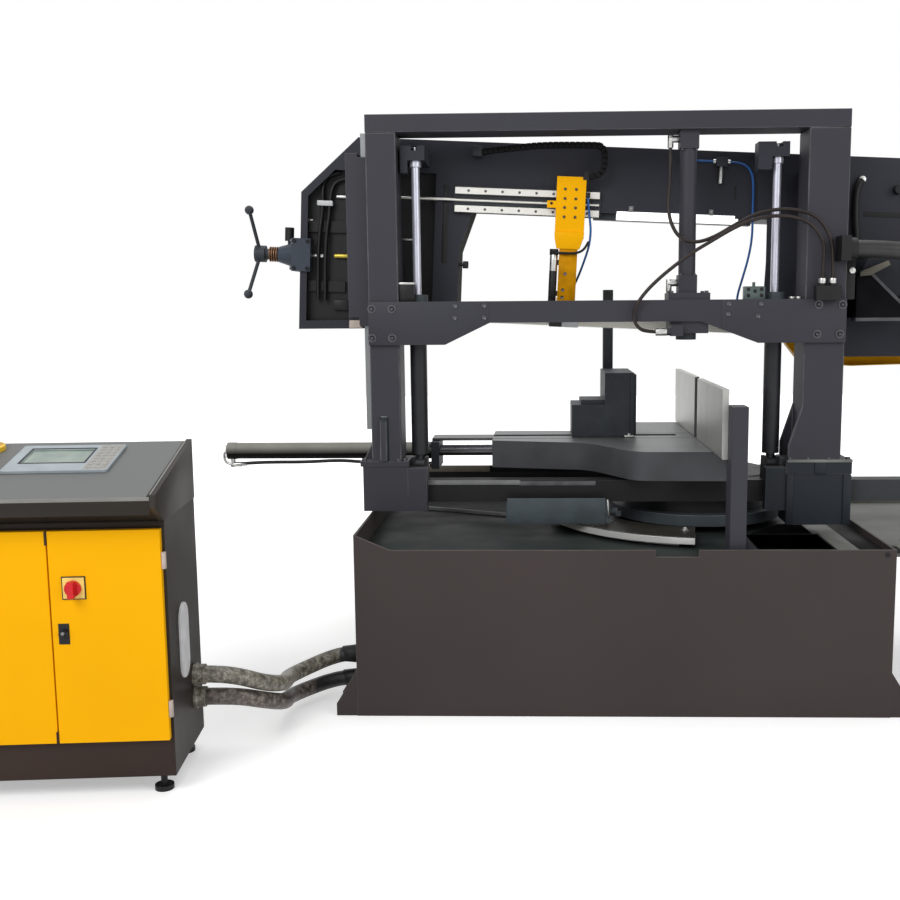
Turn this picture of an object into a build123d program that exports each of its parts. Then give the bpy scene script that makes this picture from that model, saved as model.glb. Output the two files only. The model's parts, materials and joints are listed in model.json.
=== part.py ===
import os
from math import cos, pi, radians, sin, tan

from build123d import *

# Sizes in millimetres. X runs along the blade, Y away from the operator, Z up.
# The mitre axis stands at X 0, Y 0 and the floor is Z 0.

fit = 0.05          # radial running fit of shafts, screws and pistons
gap = 0.3           # free gap between sliding faces

# Base
base_left = -1176.0
base_right = 537.0
base_front = -665.0
base_back = 620.0
base_height = 549.0
side_height = 599.0     # raised left wall
corner_run = 115.0
base_wall = 8.0
notch_left = -217.0
notch_right = -81.0
notch_depth = 22.0
foot_reach = 68.0
foot_half = 62.0
foot_front_y = -600.0
foot_back_y = 540.0
anchor_radius = 9.0
anchor_reach = 38.0
tray_seat = 520.0
tray_sheet = 4.0
chute_x0 = 130.0
chute_x1 = 380.0
chute_y0 = -540.0
chute_y1 = -300.0
side_tray_reach = 330.0

# Pedestal, scale and slewing ring
drum_radius = 180.0
disc_radius = 310.0
disc_top = 590.0
column_radius = 130.0
ring_radius = 262.0
ring_top = 712.0
scale_inner = 360.0
scale_outer = 545.0
scale_thick = 22.0
scale_lift = 14.0       # height of the block under the scale
scale_start = 190.0
scale_end = 262.0

# Vise
table_bottom = 725.0
table_top = 825.0
table_left = -757.0
table_right = 100.0
slot_half = 4.0         # blade slot in the table
jaw_seat = 822.0        # machined seat of the fixed jaws, just under the table top
chip_relief = 3.0       # set back of the jaws' bottom edge
way_y = 100.0
way_width = 50.0
jaw_top = 1048.0
jaw_plate = 20.0
jaw_front_y = -570.0
jaw_gap_front = -25.0
jaw_gap_back = 40.0
jaw_back_y = 600.0
post_top = 998.0
move_left = -459.0
move_step = -336.0
move_face = -218.0
move_base_top = 947.0
move_top = 1066.0
move_front = 30.0
move_back = 330.0
vise_axis_z = 769.0
vise_radius = 31.0
vise_left = -1786.0
vise_flange = -990.0
vise_rod_radius = 18.0

# Control cabinet, in its own frame: x to the right side, y from the front, turned on the floor
cabinet_x = -1575.0
cabinet_y = -1241.0
cabinet_turn = 5.0
cabinet_width = 600.0
cabinet_depth = 345.0
cabinet_bottom = 55.0
cabinet_top = 762.0
cabinet_sheet = 3.0
door_bottom = 164.0
door_top = 742.0
door_thick = 20.0
desk_overhang = 80.0
desk_lip_low = 812.0
desk_lip_high = 838.0
desk_back = 931.0
switch_x = -cabinet_width / 2 + 64
switch_z = 590.0
lock_x = -cabinet_width / 2 + 32
lock_z = 466.0

# Portal
portal_front = -350.0
portal_back = -210.0
left_col_x0 = -1158.0
left_col_x1 = -1056.0
right_col_x0 = 305.0
right_col_x1 = 440.0
foot_plate_top = 790.0
top_beam_bottom = 1889.0
top_beam_top = 1947.0
cross_bottom = 1261.0
cross_top = 1333.0
gusset_bottom = 1188.0
tie_front = -305.0
tie_back = -235.0
tie_bottom = 640.0
tie_top = 715.0
tie_left = -1180.0
tie_right = 900.0
lift_y = -270.0
lift_left_x = -1000.0
lift_right_x = 219.0
lift_radius = 29.0
lift_rod_radius = 14.0
rail_width = 34.0
rail_thick = 25.0
rail_bottom = 894.0
press_x = -83.0
press_y = -300.0
press_half = 28.5

# Saw head, in its own canted frame: u along the blade, w up from the blade's centre line
cant = 2.8
blade_height = 1237.0
blade_width = 40.0
blade_thick = 1.3
tooth_pitch = 8.5
tooth_depth = 3.5
wheel_radius = 205.0
wheel_width = 46.0
wheel_gap = 0.5
idler_u = -1185.0
drive_u = 600.0
bow_left = -1450.0
bow_right = 880.0
bow_top = 615.0
beam_bottom = 386.0
bow_front = -100.0
bow_back = 110.0
bow_sheet = 10.0
leg_left_u = -880.0
leg_right_u = 212.0
recess_y = -58.0
window_u0 = -1425.0
window_u1 = -970.0
window_w1 = 500.0
axis_w = 197.0
axis_y = -40.0
screw_radius = 9.0
hub_u = -1602.0
arm_u = -491.0
arm_half = 51.0
rail_high_w = 443.0
rail_low_w = 380.0
arm_rail_u0 = -899.0
arm_rail_u1 = -389.0
fixed_u0 = 168.0
right_step_w = -34.0    # bottom of the bow beside the right leg
cover_y0 = 110.5
cover_y1 = 155.0


def block(x0, x1, y0, y1, z0, z1):
    return Pos((x0 + x1) / 2, (y0 + y1) / 2, (z0 + z1) / 2) * Box(x1 - x0, y1 - y0, z1 - z0)


def bar_x(radius, x0, x1, y, z):
    return Pos((x0 + x1) / 2, y, z) * Rot(0, 90, 0) * Cylinder(radius, x1 - x0)


def bar_y(radius, x, y0, y1, z):
    return Pos(x, (y0 + y1) / 2, z) * Rot(90, 0, 0) * Cylinder(radius, y1 - y0)


def bar_z(radius, x, y, z0, z1):
    return Pos(x, y, (z0 + z1) / 2) * Cylinder(radius, z1 - z0)


def slab_x(points, x0, x1):
    face = make_face(Polyline(*[(x0, y, z) for y, z in points], close=True))
    return extrude(face, amount=x1 - x0, dir=(1, 0, 0))


def slab_y(points, y0, y1):
    face = make_face(Polyline(*[(x, y0, z) for x, z in points], close=True))
    return extrude(face, amount=y1 - y0, dir=(0, 1, 0))


def slab_z(points, z0, z1):
    face = make_face(Polyline(*[(x, y, z0) for x, y in points], close=True))
    return extrude(face, amount=z1 - z0, dir=(0, 0, 1))


def tube_z(outer, inner, x, y, z0, z1):
    return bar_z(outer, x, y, z0, z1) - bar_z(inner, x, y, z0, z1)


def sector(inner, outer, start, end, z0, z1):
    far = CenterArc((0, 0, z0), outer, start, end - start)
    near = CenterArc((0, 0, z0), inner, start, end - start)
    face = make_face([far, near, Line(far @ 0, near @ 0), Line(far @ 1, near @ 1)])
    return extrude(face, amount=z1 - z0, dir=(0, 0, 1))


def turned(profile, x, z):
    # A ring around the Y axis at x, z from a profile of radius and y.
    face = make_face(Polyline(*[(r, y, 0) for r, y in profile], close=True))
    return Pos(x, 0, z) * revolve(face, Axis.Y)


def cord(name, points, diameter):
    # Straight runs joined by tangent arcs, each arc sized from its shorter run and its turn.
    path_points = [Vector(*p) for p in points]
    radii = []
    for before, corner, after in zip(path_points, path_points[1:], path_points[2:]):
        come = corner - before
        leave = after - corner
        turn = radians(come.get_angle(leave))
        radii.append(0.45 * min(come.length, leave.length) / tan(turn / 2))
    path = FilletPolyline(*path_points, radius=radii) if radii else Line(*path_points)
    tube = sweep(Plane(origin=path @ 0, z_dir=path % 0) * Circle(diameter / 2), path=path)
    share = tube.volume / (pi * diameter**2 / 4 * path.length)
    least = min(radii) / diameter if radii else 0
    print(name, "least radius in diameters", round(least, 1), "volume share", round(share, 4))
    return tube


nodes = {}

# Base and what stands on it

tank = block(base_left, base_right, base_front, base_back, 0, base_height)
tank -= block(
    base_left + base_wall, base_right - base_wall,
    base_front + base_wall, base_back - base_wall, base_wall, base_height,
)
tank += block(base_left, base_left + base_wall, base_front, base_back, base_height, side_height)
tank += slab_y(
    [(base_left, base_height), (base_left, side_height), (base_left + corner_run, base_height)],
    base_front, base_front + base_wall,
)
tank -= block(
    notch_left, notch_right, base_front, base_front + base_wall,
    base_height - notch_depth, base_height,
)
ledge = block(
    base_left + base_wall, base_right - base_wall, base_front + base_wall, base_back - base_wall,
    tray_seat - 6, tray_seat,
)
ledge -= block(
    base_left + base_wall + 30, base_right - base_wall - 30,
    base_front + base_wall + 30, base_back - base_wall - 30, tray_seat - 6, tray_seat,
)
tank += ledge
for wall_x, way in ((base_left, -1), (base_right, 1)):
    out_x = wall_x + way * foot_reach
    for foot_y in (foot_front_y, foot_back_y):
        tank += block(
            min(wall_x, out_x), max(wall_x, out_x), foot_y - foot_half, foot_y + foot_half, 0, 14,
        )
        rib = [(wall_x, 14), (out_x, 14), (out_x, 40), (wall_x, 150)]
        for rib_y in (foot_y - foot_half, foot_y + foot_half - 12):
            tank += slab_y(rib, rib_y, rib_y + 12)
        tank -= bar_z(anchor_radius, wall_x + way * anchor_reach, foot_y, 0, 14)
nodes["base_tank"] = tank

tray = block(
    base_left + base_wall + 0.2, base_right - base_wall - 0.2,
    base_front + base_wall + 0.2, base_back - base_wall - 0.2, tray_seat, tray_seat + tray_sheet,
)
tray -= bar_z(drum_radius + 0.4, 0, 0, tray_seat, tray_seat + tray_sheet)
tray -= block(chute_x0, chute_x1, chute_y0, chute_y1, tray_seat, tray_seat + tray_sheet)
shelf = block(base_right, base_right + side_tray_reach, -510, 250, 528, 532)
shelf += block(base_right, base_right + side_tray_reach, -510, -506, 490, 528)
shelf += block(base_right, base_right + side_tray_reach, 246, 250, 490, 528)
shelf += block(base_right + side_tray_reach - 4, base_right + side_tray_reach, -510, 250, 490, 528)
nodes["chip_tray"] = Compound([tray.solid(), shelf.solid()])

pedestal = bar_z(drum_radius, 0, 0, base_wall, 550)
pedestal += bar_z(disc_radius, 0, 0, 550, disc_top)
pedestal += bar_z(column_radius, 0, 0, disc_top, table_bottom)
pedestal -= bar_z(100, 0, 0, base_wall, table_bottom - 30)
nodes["pedestal"] = pedestal

tray_top = tray_seat + tray_sheet
scale_bottom = tray_top + scale_lift
scale_top = scale_bottom + scale_thick
scale = sector(scale_inner, scale_outer, scale_start, scale_end, scale_bottom, scale_top)
scale += sector(
    scale_inner + 30, scale_outer - 45, scale_start + 10, scale_end - 6, tray_top, scale_bottom,
)
nodes["angle_scale"] = scale

# Vise

table_back = 250.0
table_edge = FilletPolyline(
    (table_left, -60, table_bottom),
    (-400, -140, table_bottom),
    (-260, -390, table_bottom),
    (table_right, -400, table_bottom),
    (table_right, -20, table_bottom),
    (35, 60, table_bottom),
    (35, 560, table_bottom),
    (-330, 560, table_bottom),
    (-330, table_back, table_bottom),
    (table_left, table_back, table_bottom),
    radius=[12, 150, 100, 25, 5, 5, 12, 12, 40, 12],
    close=True,
)
table_face = make_face(table_edge)
table = extrude(table_face, amount=table_top - table_bottom, dir=(0, 0, 1))
under = extrude(offset(table_face, -22), amount=50, dir=(0, 0, 1))
table -= under - bar_z(column_radius + 25, 0, 0, table_bottom, table_bottom + 50)
table -= block(
    table_left, -60, way_y - way_width / 2, way_y + way_width / 2, table_bottom + 15, table_top,
)
table -= block(table_left, table_right, -slot_half, slot_half, table_top - 14, table_top)
table -= block(-330, 35, 152, 158, table_top - 6, table_top)
table -= block(0, table_right, -400, 560, jaw_seat, table_top)
nodes["vise_table"] = table

front_jaw = block(0, jaw_plate, jaw_front_y, jaw_gap_front, jaw_seat, jaw_top)
front_jaw -= block(0, chip_relief, jaw_front_y, jaw_gap_front, jaw_seat, table_top + 1)
back_jaw = slab_z(
    [(0, jaw_gap_back), (0, jaw_back_y), (jaw_plate, jaw_back_y), (jaw_plate, jaw_gap_back + 22)],
    jaw_seat, jaw_top,
)
back_jaw -= block(0, chip_relief, jaw_gap_back, jaw_back_y, jaw_seat, table_top + 1)
nodes["fixed_jaws"] = Compound([front_jaw.solid(), back_jaw.solid()])

post = block(jaw_plate, 72, -632, -548, tray_top, post_top)
post -= block(jaw_plate + 6, 66, -626, -554, tray_top, post_top - 6)
post += block(jaw_plate, 110, -632, -548, tray_top, tray_top + 8)
post += slab_y([(72, tray_top + 8), (110, tray_top + 8), (72, tray_top + 68)], -600, -580)
front_back = slab_y(
    [(jaw_plate, jaw_seat), (55, jaw_seat), (55, 900), (40, 1000), (jaw_plate, 1000)],
    -330, -120,
)
rear_back = block(jaw_plate, 34, 130, 545, jaw_seat, 1010)
nodes["jaw_supports"] = Compound([post.solid(), front_back.solid(), rear_back.solid()])

bars = [
    bar_x(13, vise_flange + 30, table_left, way_y + side, vise_axis_z) for side in (-58, 58)
]
tie_plate = block(vise_flange, table_left, way_y - 40, way_y + 75, 810, 820)
nodes["vise_guides"] = Compound([bars[0].solid(), bars[1].solid(), tie_plate.solid()])

barrel = bar_x(vise_radius, vise_left, vise_flange, way_y, vise_axis_z)
for end in (vise_left, vise_flange - 34):
    barrel += bar_x(vise_radius + 1.5, end, end + 34, way_y, vise_axis_z)
barrel += block(vise_flange, vise_flange + 30, way_y - 85, way_y + 85, 708, 810)
elbow_z = vise_axis_z - vise_radius - 22
barrel += bar_z(9, vise_left + 17, way_y, elbow_z - 9, vise_axis_z - vise_radius)
barrel += bar_x(9, vise_left + 17, vise_left + 46, way_y, elbow_z)
barrel -= bar_x(5.7, vise_left + 32, vise_left + 46, way_y, elbow_z)
barrel -= bar_x(23, vise_left + 20, vise_flange - 20, way_y, vise_axis_z)
barrel -= bar_x(vise_rod_radius + fit, vise_flange - 20, vise_flange + 30, way_y, vise_axis_z)
nodes["vise_cylinder"] = barrel

jaw = block(move_left, move_step, move_front, table_back - 5, table_top + gap, move_base_top)
jaw += block(move_step, move_face - 8, move_front, move_back, table_top + gap, move_top)
jaw += block(
    move_face - 8, move_face, move_front + 4, move_back - 4, table_top + 8, move_top - 6,
)
jaw += block(
    move_left + 34, move_step, move_front + 20, table_back - 25, move_base_top, move_base_top + 17,
)
jaw += block(-325, -286, move_back, move_back + 40, 900, 1378)
jaw += block(
    move_left, move_step, way_y - way_width / 2 + gap, way_y + way_width / 2 - gap,
    table_bottom + 16, table_top + gap,
)
nodes["moving_jaw"] = jaw

piston_x = -1300.0
vise_rod = bar_x(vise_rod_radius, piston_x, move_left, way_y, vise_axis_z)
vise_rod += bar_x(23 - fit, piston_x, piston_x + 30, way_y, vise_axis_z)
nodes["vise_rod"] = vise_rod

hose_z = vise_axis_z - vise_radius - 22
vise_hose = cord(
    "vise_hose",
    [
        (vise_left + 34, way_y, hose_z),
        (vise_left + 110, way_y, hose_z),
        (vise_left + 250, way_y, hose_z - 6),
        (vise_flange - 200, way_y, hose_z - 4),
        (vise_flange - 80, way_y, hose_z + 2),
        (vise_flange - 0.3, way_y, hose_z + 2),
    ],
    11,
)
nodes["vise_hose"] = vise_hose

# Control cabinet

cabinet = Pos(cabinet_x, cabinet_y, 0) * Rot(0, 0, cabinet_turn)

shell = block(-cabinet_width, 0, 0, cabinet_depth, cabinet_bottom, cabinet_top)
shell -= block(
    -cabinet_width + cabinet_sheet, -cabinet_sheet, cabinet_sheet, cabinet_depth - cabinet_sheet,
    cabinet_bottom + cabinet_sheet, cabinet_top,
)
shell -= block(
    -cabinet_width + 25, -25, 0, cabinet_sheet, door_bottom + 18, door_top - 18,
)
cabinet_entries = (254.0, 186.0)
for gland_z in cabinet_entries:
    shell -= bar_x(25.2, -cabinet_sheet, 0, 250, gland_z)
grille = SlotOverall(215, 92)
grille_cut = extrude(Plane((0, 145, 392), x_dir=(0, 0, 1), z_dir=(1, 0, 0)) * grille, amount=6)
shell += grille_cut
nodes["cabinet_shell"] = cabinet * shell

desk_profile = [
    (0, cabinet_top), (-desk_overhang, desk_lip_low), (-desk_overhang, desk_lip_high),
    (cabinet_depth, desk_back), (cabinet_depth, cabinet_top),
]
desk_inner = [
    (cabinet_sheet + 4, cabinet_top), (-desk_overhang + 6, desk_lip_low + 4),
    (-desk_overhang + 6, desk_lip_high - 3),
    (cabinet_depth - cabinet_sheet, desk_back - 5), (cabinet_depth - cabinet_sheet, cabinet_top),
]
desk = slab_x(desk_profile, -cabinet_width, 0)
desk -= slab_x(desk_inner, -cabinet_width + cabinet_sheet, -cabinet_sheet)
desk_rise = (desk_back - desk_lip_high) / (cabinet_depth + desk_overhang)


def desk_height(y):
    return desk_lip_high + (y + desk_overhang) * desk_rise


def desk_plane(x, y):
    return Plane((x, y, desk_height(y)), x_dir=(1, 0, 0), z_dir=(0, -desk_rise, 1))


stop_plane = desk_plane(-cabinet_width + 60, 285)
desk -= extrude(stop_plane * Circle(11.2), amount=-12)
nodes["control_desk"] = cabinet * desk

panel_plane = desk_plane(-cabinet_width / 2 - 13, 198)
panel = extrude(panel_plane * RectangleRounded(285, 205, 8), amount=9)
panel -= extrude(panel_plane.offset(6) * (Pos(-22, 14) * Rectangle(172, 112)), amount=4)
nodes["touch_panel"] = cabinet * panel

collar = extrude(stop_plane * Circle(32), amount=16)
collar -= extrude(stop_plane * Circle(11.2), amount=16)
nodes["estop_collar"] = cabinet * collar
button = extrude(stop_plane.offset(16 + 7) * Circle(20), amount=16)
button += extrude(stop_plane * Circle(11), amount=24)
nodes["estop_button"] = cabinet * button

feet = []
for foot_x in (-cabinet_width + 45, -45):
    for foot_y in (45, cabinet_depth - 45):
        foot = bar_z(26, foot_x, foot_y, 0, 14) + bar_z(9, foot_x, foot_y, 14, cabinet_bottom)
        foot += bar_z(15, foot_x, foot_y, cabinet_bottom - 12, cabinet_bottom)
        feet.append((cabinet * foot).solid())
nodes["cabinet_feet"] = Compound(feet)

plate_y = cabinet_depth - 40
plate = block(-cabinet_width + 50, -50, plate_y, plate_y + 4, 270, 720)
for stud_x in (-cabinet_width + 70, -70):
    for stud_z in (290, 700):
        plate += bar_y(8, stud_x, plate_y + 4, cabinet_depth - cabinet_sheet, stud_z)
device_rows = ((660, 80, 62, 54, 70), (545, 70, 80, 72, 62), (420, 110, 150, 128, 90))
for row_z, high, step, wide, deep in device_rows:
    count = int((cabinet_width - 140) // step)
    for i in range(count):
        left = -cabinet_width + 70 + i * step
        plate += block(left, left + wide, plate_y - deep, plate_y, row_z - high / 2, row_z + high / 2)
nodes["control_plate"] = cabinet * plate

unit_x = -cabinet_width + 160
unit = block(unit_x - 120, unit_x + 120, 40, 240, cabinet_bottom + cabinet_sheet, 210)
for unit_radius, unit_low, unit_high in ((58, 210, 236), (48, 236, 360), (52, 360, 384)):
    unit += bar_z(unit_radius, unit_x, 130, unit_low, unit_high)
nodes["hydraulic_unit"] = cabinet * unit

door_split = -cabinet_width / 2
hinge_radius = 7.0


def door(x0, x1, hinge_x):
    leaf = block(x0, x1, -door_thick, -gap, door_bottom, door_top)
    leaf -= block(x0 + 3, x1 - 3, -door_thick + 3, -gap, door_bottom + 3, door_top - 3)
    for hinge_z in (door_bottom + 85, door_top - 85):
        leaf += bar_z(hinge_radius, hinge_x, -door_thick / 2, hinge_z - 22, hinge_z + 22)
    return leaf


right_hinge = 0.0
left_hinge = -cabinet_width
right_door = door(door_split + 2, -8, right_hinge - 4)
right_door += block(
    switch_x - 28, switch_x + 28, -door_thick - 4, -door_thick, switch_z - 28, switch_z + 28,
)
right_door -= bar_y(7 + fit, switch_x, -door_thick - 4, -door_thick + 3, switch_z)
right_door += block(lock_x - 14, lock_x + 14, -door_thick - 2, -door_thick, lock_z - 28, lock_z + 28)
right_door -= bar_y(8 + fit, lock_x, -door_thick - 2, -door_thick + 3, lock_z)
nodes["door_right"] = cabinet * right_door
nodes["door_left"] = cabinet * door(-cabinet_width + 8, door_split - 2, left_hinge + 4)

knob_y = -door_thick - gap
switch = bar_y(7, switch_x, knob_y - 4, -door_thick + 9, switch_z)
switch += bar_y(21, switch_x, knob_y - 14, knob_y - 4, switch_z)
switch += block(switch_x - 8, switch_x + 8, knob_y - 32, knob_y - 14, switch_z - 22, switch_z + 22)
nodes["main_switch"] = cabinet * switch
lock = bar_y(13, lock_x, knob_y - 7, knob_y - 2, lock_z)
lock += bar_y(8, lock_x, knob_y - 2, -door_thick + 12, lock_z)
lock += block(lock_x - 4, lock_x + 4, knob_y - 10, knob_y - 7, lock_z - 9, lock_z + 9)
lock += block(lock_x - 9, lock_x + 9, -door_thick + 8, -door_thick + 12, lock_z - 8, lock_z + 21)
nodes["door_lock"] = cabinet * lock

glands = []
for gland_z in cabinet_entries:
    gland = bar_x(33.5, 0, 10, 250, gland_z) + bar_x(30, 10, 34, 250, gland_z)
    gland -= bar_x(25.2, 0, 34, 250, gland_z)
    glands.append((cabinet * gland).solid())
entry_y = -470.0
base_entries = (147.0, 63.0)
for entry_z in base_entries:
    gland = bar_x(36, base_left - 10, base_left, entry_y, entry_z)
    gland += bar_x(31, base_left - 34, base_left - 10, entry_y, entry_z)
    gland -= bar_x(25.2, base_left - 34, base_left, entry_y, entry_z)
    glands.append(gland.solid())
nodes["conduit_glands"] = Compound(glands)

start_high, lead_high, start_low, lead_low = [
    tuple((cabinet * Pos(reach, 250, entry_z)).position)
    for entry_z in cabinet_entries
    for reach in (6, 70)
]
upper = cord(
    "upper conduit",
    [
        start_high, lead_high, (-1466, -956, 247), (-1418, -910, 227), (-1388, -851, 202),
        (-1379, -786, 178), (-1401, -663, 147), (-1389, -596, 136), (-1355, -537, 135),
        (-1307, -493, 141), (base_left - 70, entry_y, 147), (base_left - 6, entry_y, 147),
    ],
    50,
)
lower = cord(
    "lower conduit",
    [
        start_low, lead_low, (-1466, -956, 179), (-1418, -910, 159), (-1388, -851, 133),
        (-1379, -786, 108), (-1401, -663, 69), (-1389, -596, 55), (-1355, -537, 52),
        (-1307, -493, 57), (base_left - 70, entry_y, 63), (base_left - 6, entry_y, 63),
    ],
    50,
)
nodes["floor_conduits"] = Compound([upper.solid(), lower.solid()])

# Portal on the slewing ring

beam = block(tie_left, tie_right, tie_front, tie_back, tie_bottom, tie_top)
beam -= block(tie_left + 6, tie_right - 6, tie_front + 6, tie_back - 6, tie_bottom + 6, tie_top - 6)
ring = tube_z(ring_radius, column_radius + fit, 0, 0, disc_top + gap, ring_top)
beam += ring
beam += block(-130, 130, tie_back, -150, tie_bottom, ring_top)
for lift_x in (lift_left_x, lift_right_x):
    for ear in (-1, 1):
        ear_x = lift_x + ear * 22
        beam += slab_x(
            [(lift_y - 30, tie_top), (lift_y + 30, tie_top), (lift_y + 20, 795), (lift_y - 20, 795)],
            ear_x - 6, ear_x + 6,
        )
    beam += bar_x(9, lift_x - 28, lift_x + 28, lift_y, 770)
beam += block(775, tie_right, -345, tie_back, tie_top, tie_top + 12)
nodes["swivel_beam"] = beam

left_foot = block(-1190, -1036, -352, -205, 616, 772)
left_foot += block(-1198, -1032, -356, -200, 772, foot_plate_top)
left_foot += block(-1036, -1032, -340, -225, 640, 772)
left_foot += block(-1036, -970, portal_front, tie_front, 616, 765)
left_foot -= block(-1300, 0, tie_front, tie_back, tie_bottom, tie_top)
nodes["left_foot"] = left_foot
right_foot = block(266, 470, -352, -205, 566, 742)
right_foot += block(256, 478, -356, -200, 742, foot_plate_top)
right_foot += block(189, 266, portal_front, tie_front, 616, 765)
right_foot -= block(0, 600, tie_front, tie_back, tie_bottom, tie_top)
nodes["right_foot"] = right_foot


def column(x0, x1):
    walls = block(x0, x1, portal_front, portal_back, foot_plate_top, top_beam_bottom)
    return walls - block(
        x0 + 8, x1 - 8, portal_front + 8, portal_back - 8, foot_plate_top, top_beam_bottom,
    )


left_column = column(left_col_x0, left_col_x1)
left_column += slab_y(
    [(left_col_x0, 790), (-1190, 790), (-1190, 800), (left_col_x0, 860)], -286, -274,
)
left_column += slab_x(
    [(portal_front, 790), (portal_front - 12, 790), (portal_front - 12, 925), (portal_front, 947)],
    -1128, -1104,
)
nodes["left_column"] = left_column
right_column = column(right_col_x0, right_col_x1)
for rib_y in (portal_front, portal_back - 12):
    right_column += slab_y(
        [(right_col_x0, 790), (262, 790), (262, 840), (right_col_x0, 975)], rib_y, rib_y + 12,
    )
nodes["right_column"] = right_column
top_beam = block(left_col_x0, right_col_x1, portal_front, portal_back, top_beam_bottom, top_beam_top)
top_beam -= block(
    left_col_x0 + 6, right_col_x1 - 6, portal_front + 6, portal_back - 6,
    top_beam_bottom + 6, top_beam_top - 6,
)
nodes["top_beam"] = top_beam

cross_plate = [
    (left_col_x0, gusset_bottom), (-900, gusset_bottom), (-748, cross_bottom),
    (-43, cross_bottom), (150, gusset_bottom), (right_col_x1, gusset_bottom),
    (right_col_x1, cross_top), (left_col_x0, cross_top),
]
cross = slab_y(cross_plate, portal_front - 12, portal_front)
cross += block(left_col_x1, right_col_x0, portal_front, portal_back - 14, cross_top - 12, cross_top)
cross += block(-760, 0, portal_front, portal_back - 14, cross_bottom, cross_bottom + 12)
for lift_x in (lift_left_x, lift_right_x):
    cross -= bar_z(lift_radius + 0.2, lift_x, lift_y, cross_bottom, cross_top)
cross -= bar_z(20, press_x, press_y, cross_bottom, cross_top)
nodes["cross_beam"] = cross

left_rail = block(
    left_col_x0 - rail_thick, left_col_x0, lift_y - rail_width / 2, lift_y + rail_width / 2,
    rail_bottom, top_beam_bottom + 7,
)
right_mid = (right_col_x0 + right_col_x1) / 2
right_rail = block(
    right_mid - rail_width / 2, right_mid + rail_width / 2, portal_back, portal_back + rail_thick,
    rail_bottom, top_beam_bottom + 7,
)
nodes["column_rails"] = Compound([left_rail.solid(), right_rail.solid()])

lift_top = cross_top + 24
cylinders = []
for lift_x in (lift_left_x, lift_right_x):
    lift = bar_z(lift_radius, lift_x, lift_y, 806, cross_top)
    lift += bar_z(36, lift_x, lift_y, cross_top, lift_top)
    lift += bar_x(24, lift_x - 15, lift_x + 15, lift_y, 770)
    lift += bar_z(15, lift_x, lift_y, 785, 810)
    lift -= bar_x(9 + fit, lift_x - 15, lift_x + 15, lift_y, 770)
    lift -= bar_z(22, lift_x, lift_y, 818, cross_top - 10)
    lift -= bar_z(lift_rod_radius + fit, lift_x, lift_y, cross_top - 10, lift_top)
    cylinders.append(lift.solid())
nodes["lift_cylinders"] = Compound(cylinders)

head_block_z = 1221.0
press = bar_z(press_half, press_x, press_y, cross_top + 23, top_beam_bottom)
for cap_z in (cross_top + 23, top_beam_bottom - 60):
    press += block(
        press_x - 31, press_x + 31, press_y - 31, press_y + 31, cap_z, cap_z + 60,
    )
    port_z = cap_z + 34
    press += bar_x(11, press_x - 60, press_x - 31, press_y, port_z)
    press += bar_z(9, press_x - 60, press_y, port_z - 28, port_z + 11)
press += block(press_x - 66, press_x + 73, press_y - 49, press_y + 66, cross_top, cross_top + 23)
press_lower = block(press_x - 61, press_x + 68, portal_front, press_y + 60, head_block_z, cross_bottom)
port_x = press_x - 61
port_y = -378.0
port_z = head_block_z + 6
press_lower += block(port_x, port_x + 40, port_y - 14, portal_front, port_z - 14, port_z + 22)
ferrule = bar_x(12, port_x - 50, port_x, port_y, port_z)
ferrule -= bar_x(6.2, port_x - 50, port_x - 12, port_y, port_z)
press_lower += ferrule
rod_radius = 15.0
for piece_low, piece_high in ((cross_top, cross_top + 40), (head_block_z, cross_bottom)):
    bore = bar_z(rod_radius + fit, press_x, press_y, piece_low, piece_high)
    press -= bore
    press_lower -= bore
press -= bar_z(21, press_x, press_y, cross_top + 40, top_beam_bottom - 20)
press -= bar_z(6.2, press_x - 60, press_y, top_beam_bottom - 60 + 34 - 28, top_beam_bottom - 60 + 34 - 8)
nodes["press_cylinder"] = Compound([press.solid(), press_lower.solid()])

pad = bar_z(rod_radius, press_x, press_y, head_block_z - 6, 1560)
pad += bar_z(21 - fit, press_x, press_y, 1560, 1590)
pad += bar_z(34, press_x, press_y, head_block_z - 22, head_block_z - gap)
nodes["press_foot"] = pad

clamp = block(-698, -341, -360, -225, 575, tie_bottom)
clamp -= block(-650, -390, -360, -330, 590, 620)
clamp += bar_z(24, -450, -270, scale_top + 0.4, 575)
clamp += bar_x(14, -341, -312, -300, 604) + bar_z(14, -312, -300, 590, 604)
nodes["swivel_clamp"] = clamp

manifold = block(330, 412, -398, portal_front - 12, cross_top - 4, cross_top + 42)
for nipple_x in (352, 386):
    manifold += bar_z(11, nipple_x, -378, cross_top + 42, cross_top + 66)
    manifold -= bar_z(6.2, nipple_x, -378, cross_top + 48, cross_top + 66)
socket = block(400, 432, -424, portal_front, 1455, 1536)
socket += bar_x(36, 432, 456, -386, 1495)
socket -= bar_x(29.2, 424, 456, -386, 1495)
gland_low = bar_z(44, 840, -299, tie_top + 12, tie_top + 24)
gland_low += bar_z(36, 840, -299, tie_top + 24, tie_top + 52)
gland_low -= bar_z(29.2, 840, -299, tie_top + 20, tie_top + 52)
nodes["hose_manifold"] = Compound([manifold.solid(), socket.solid(), gland_low.solid()])

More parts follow.
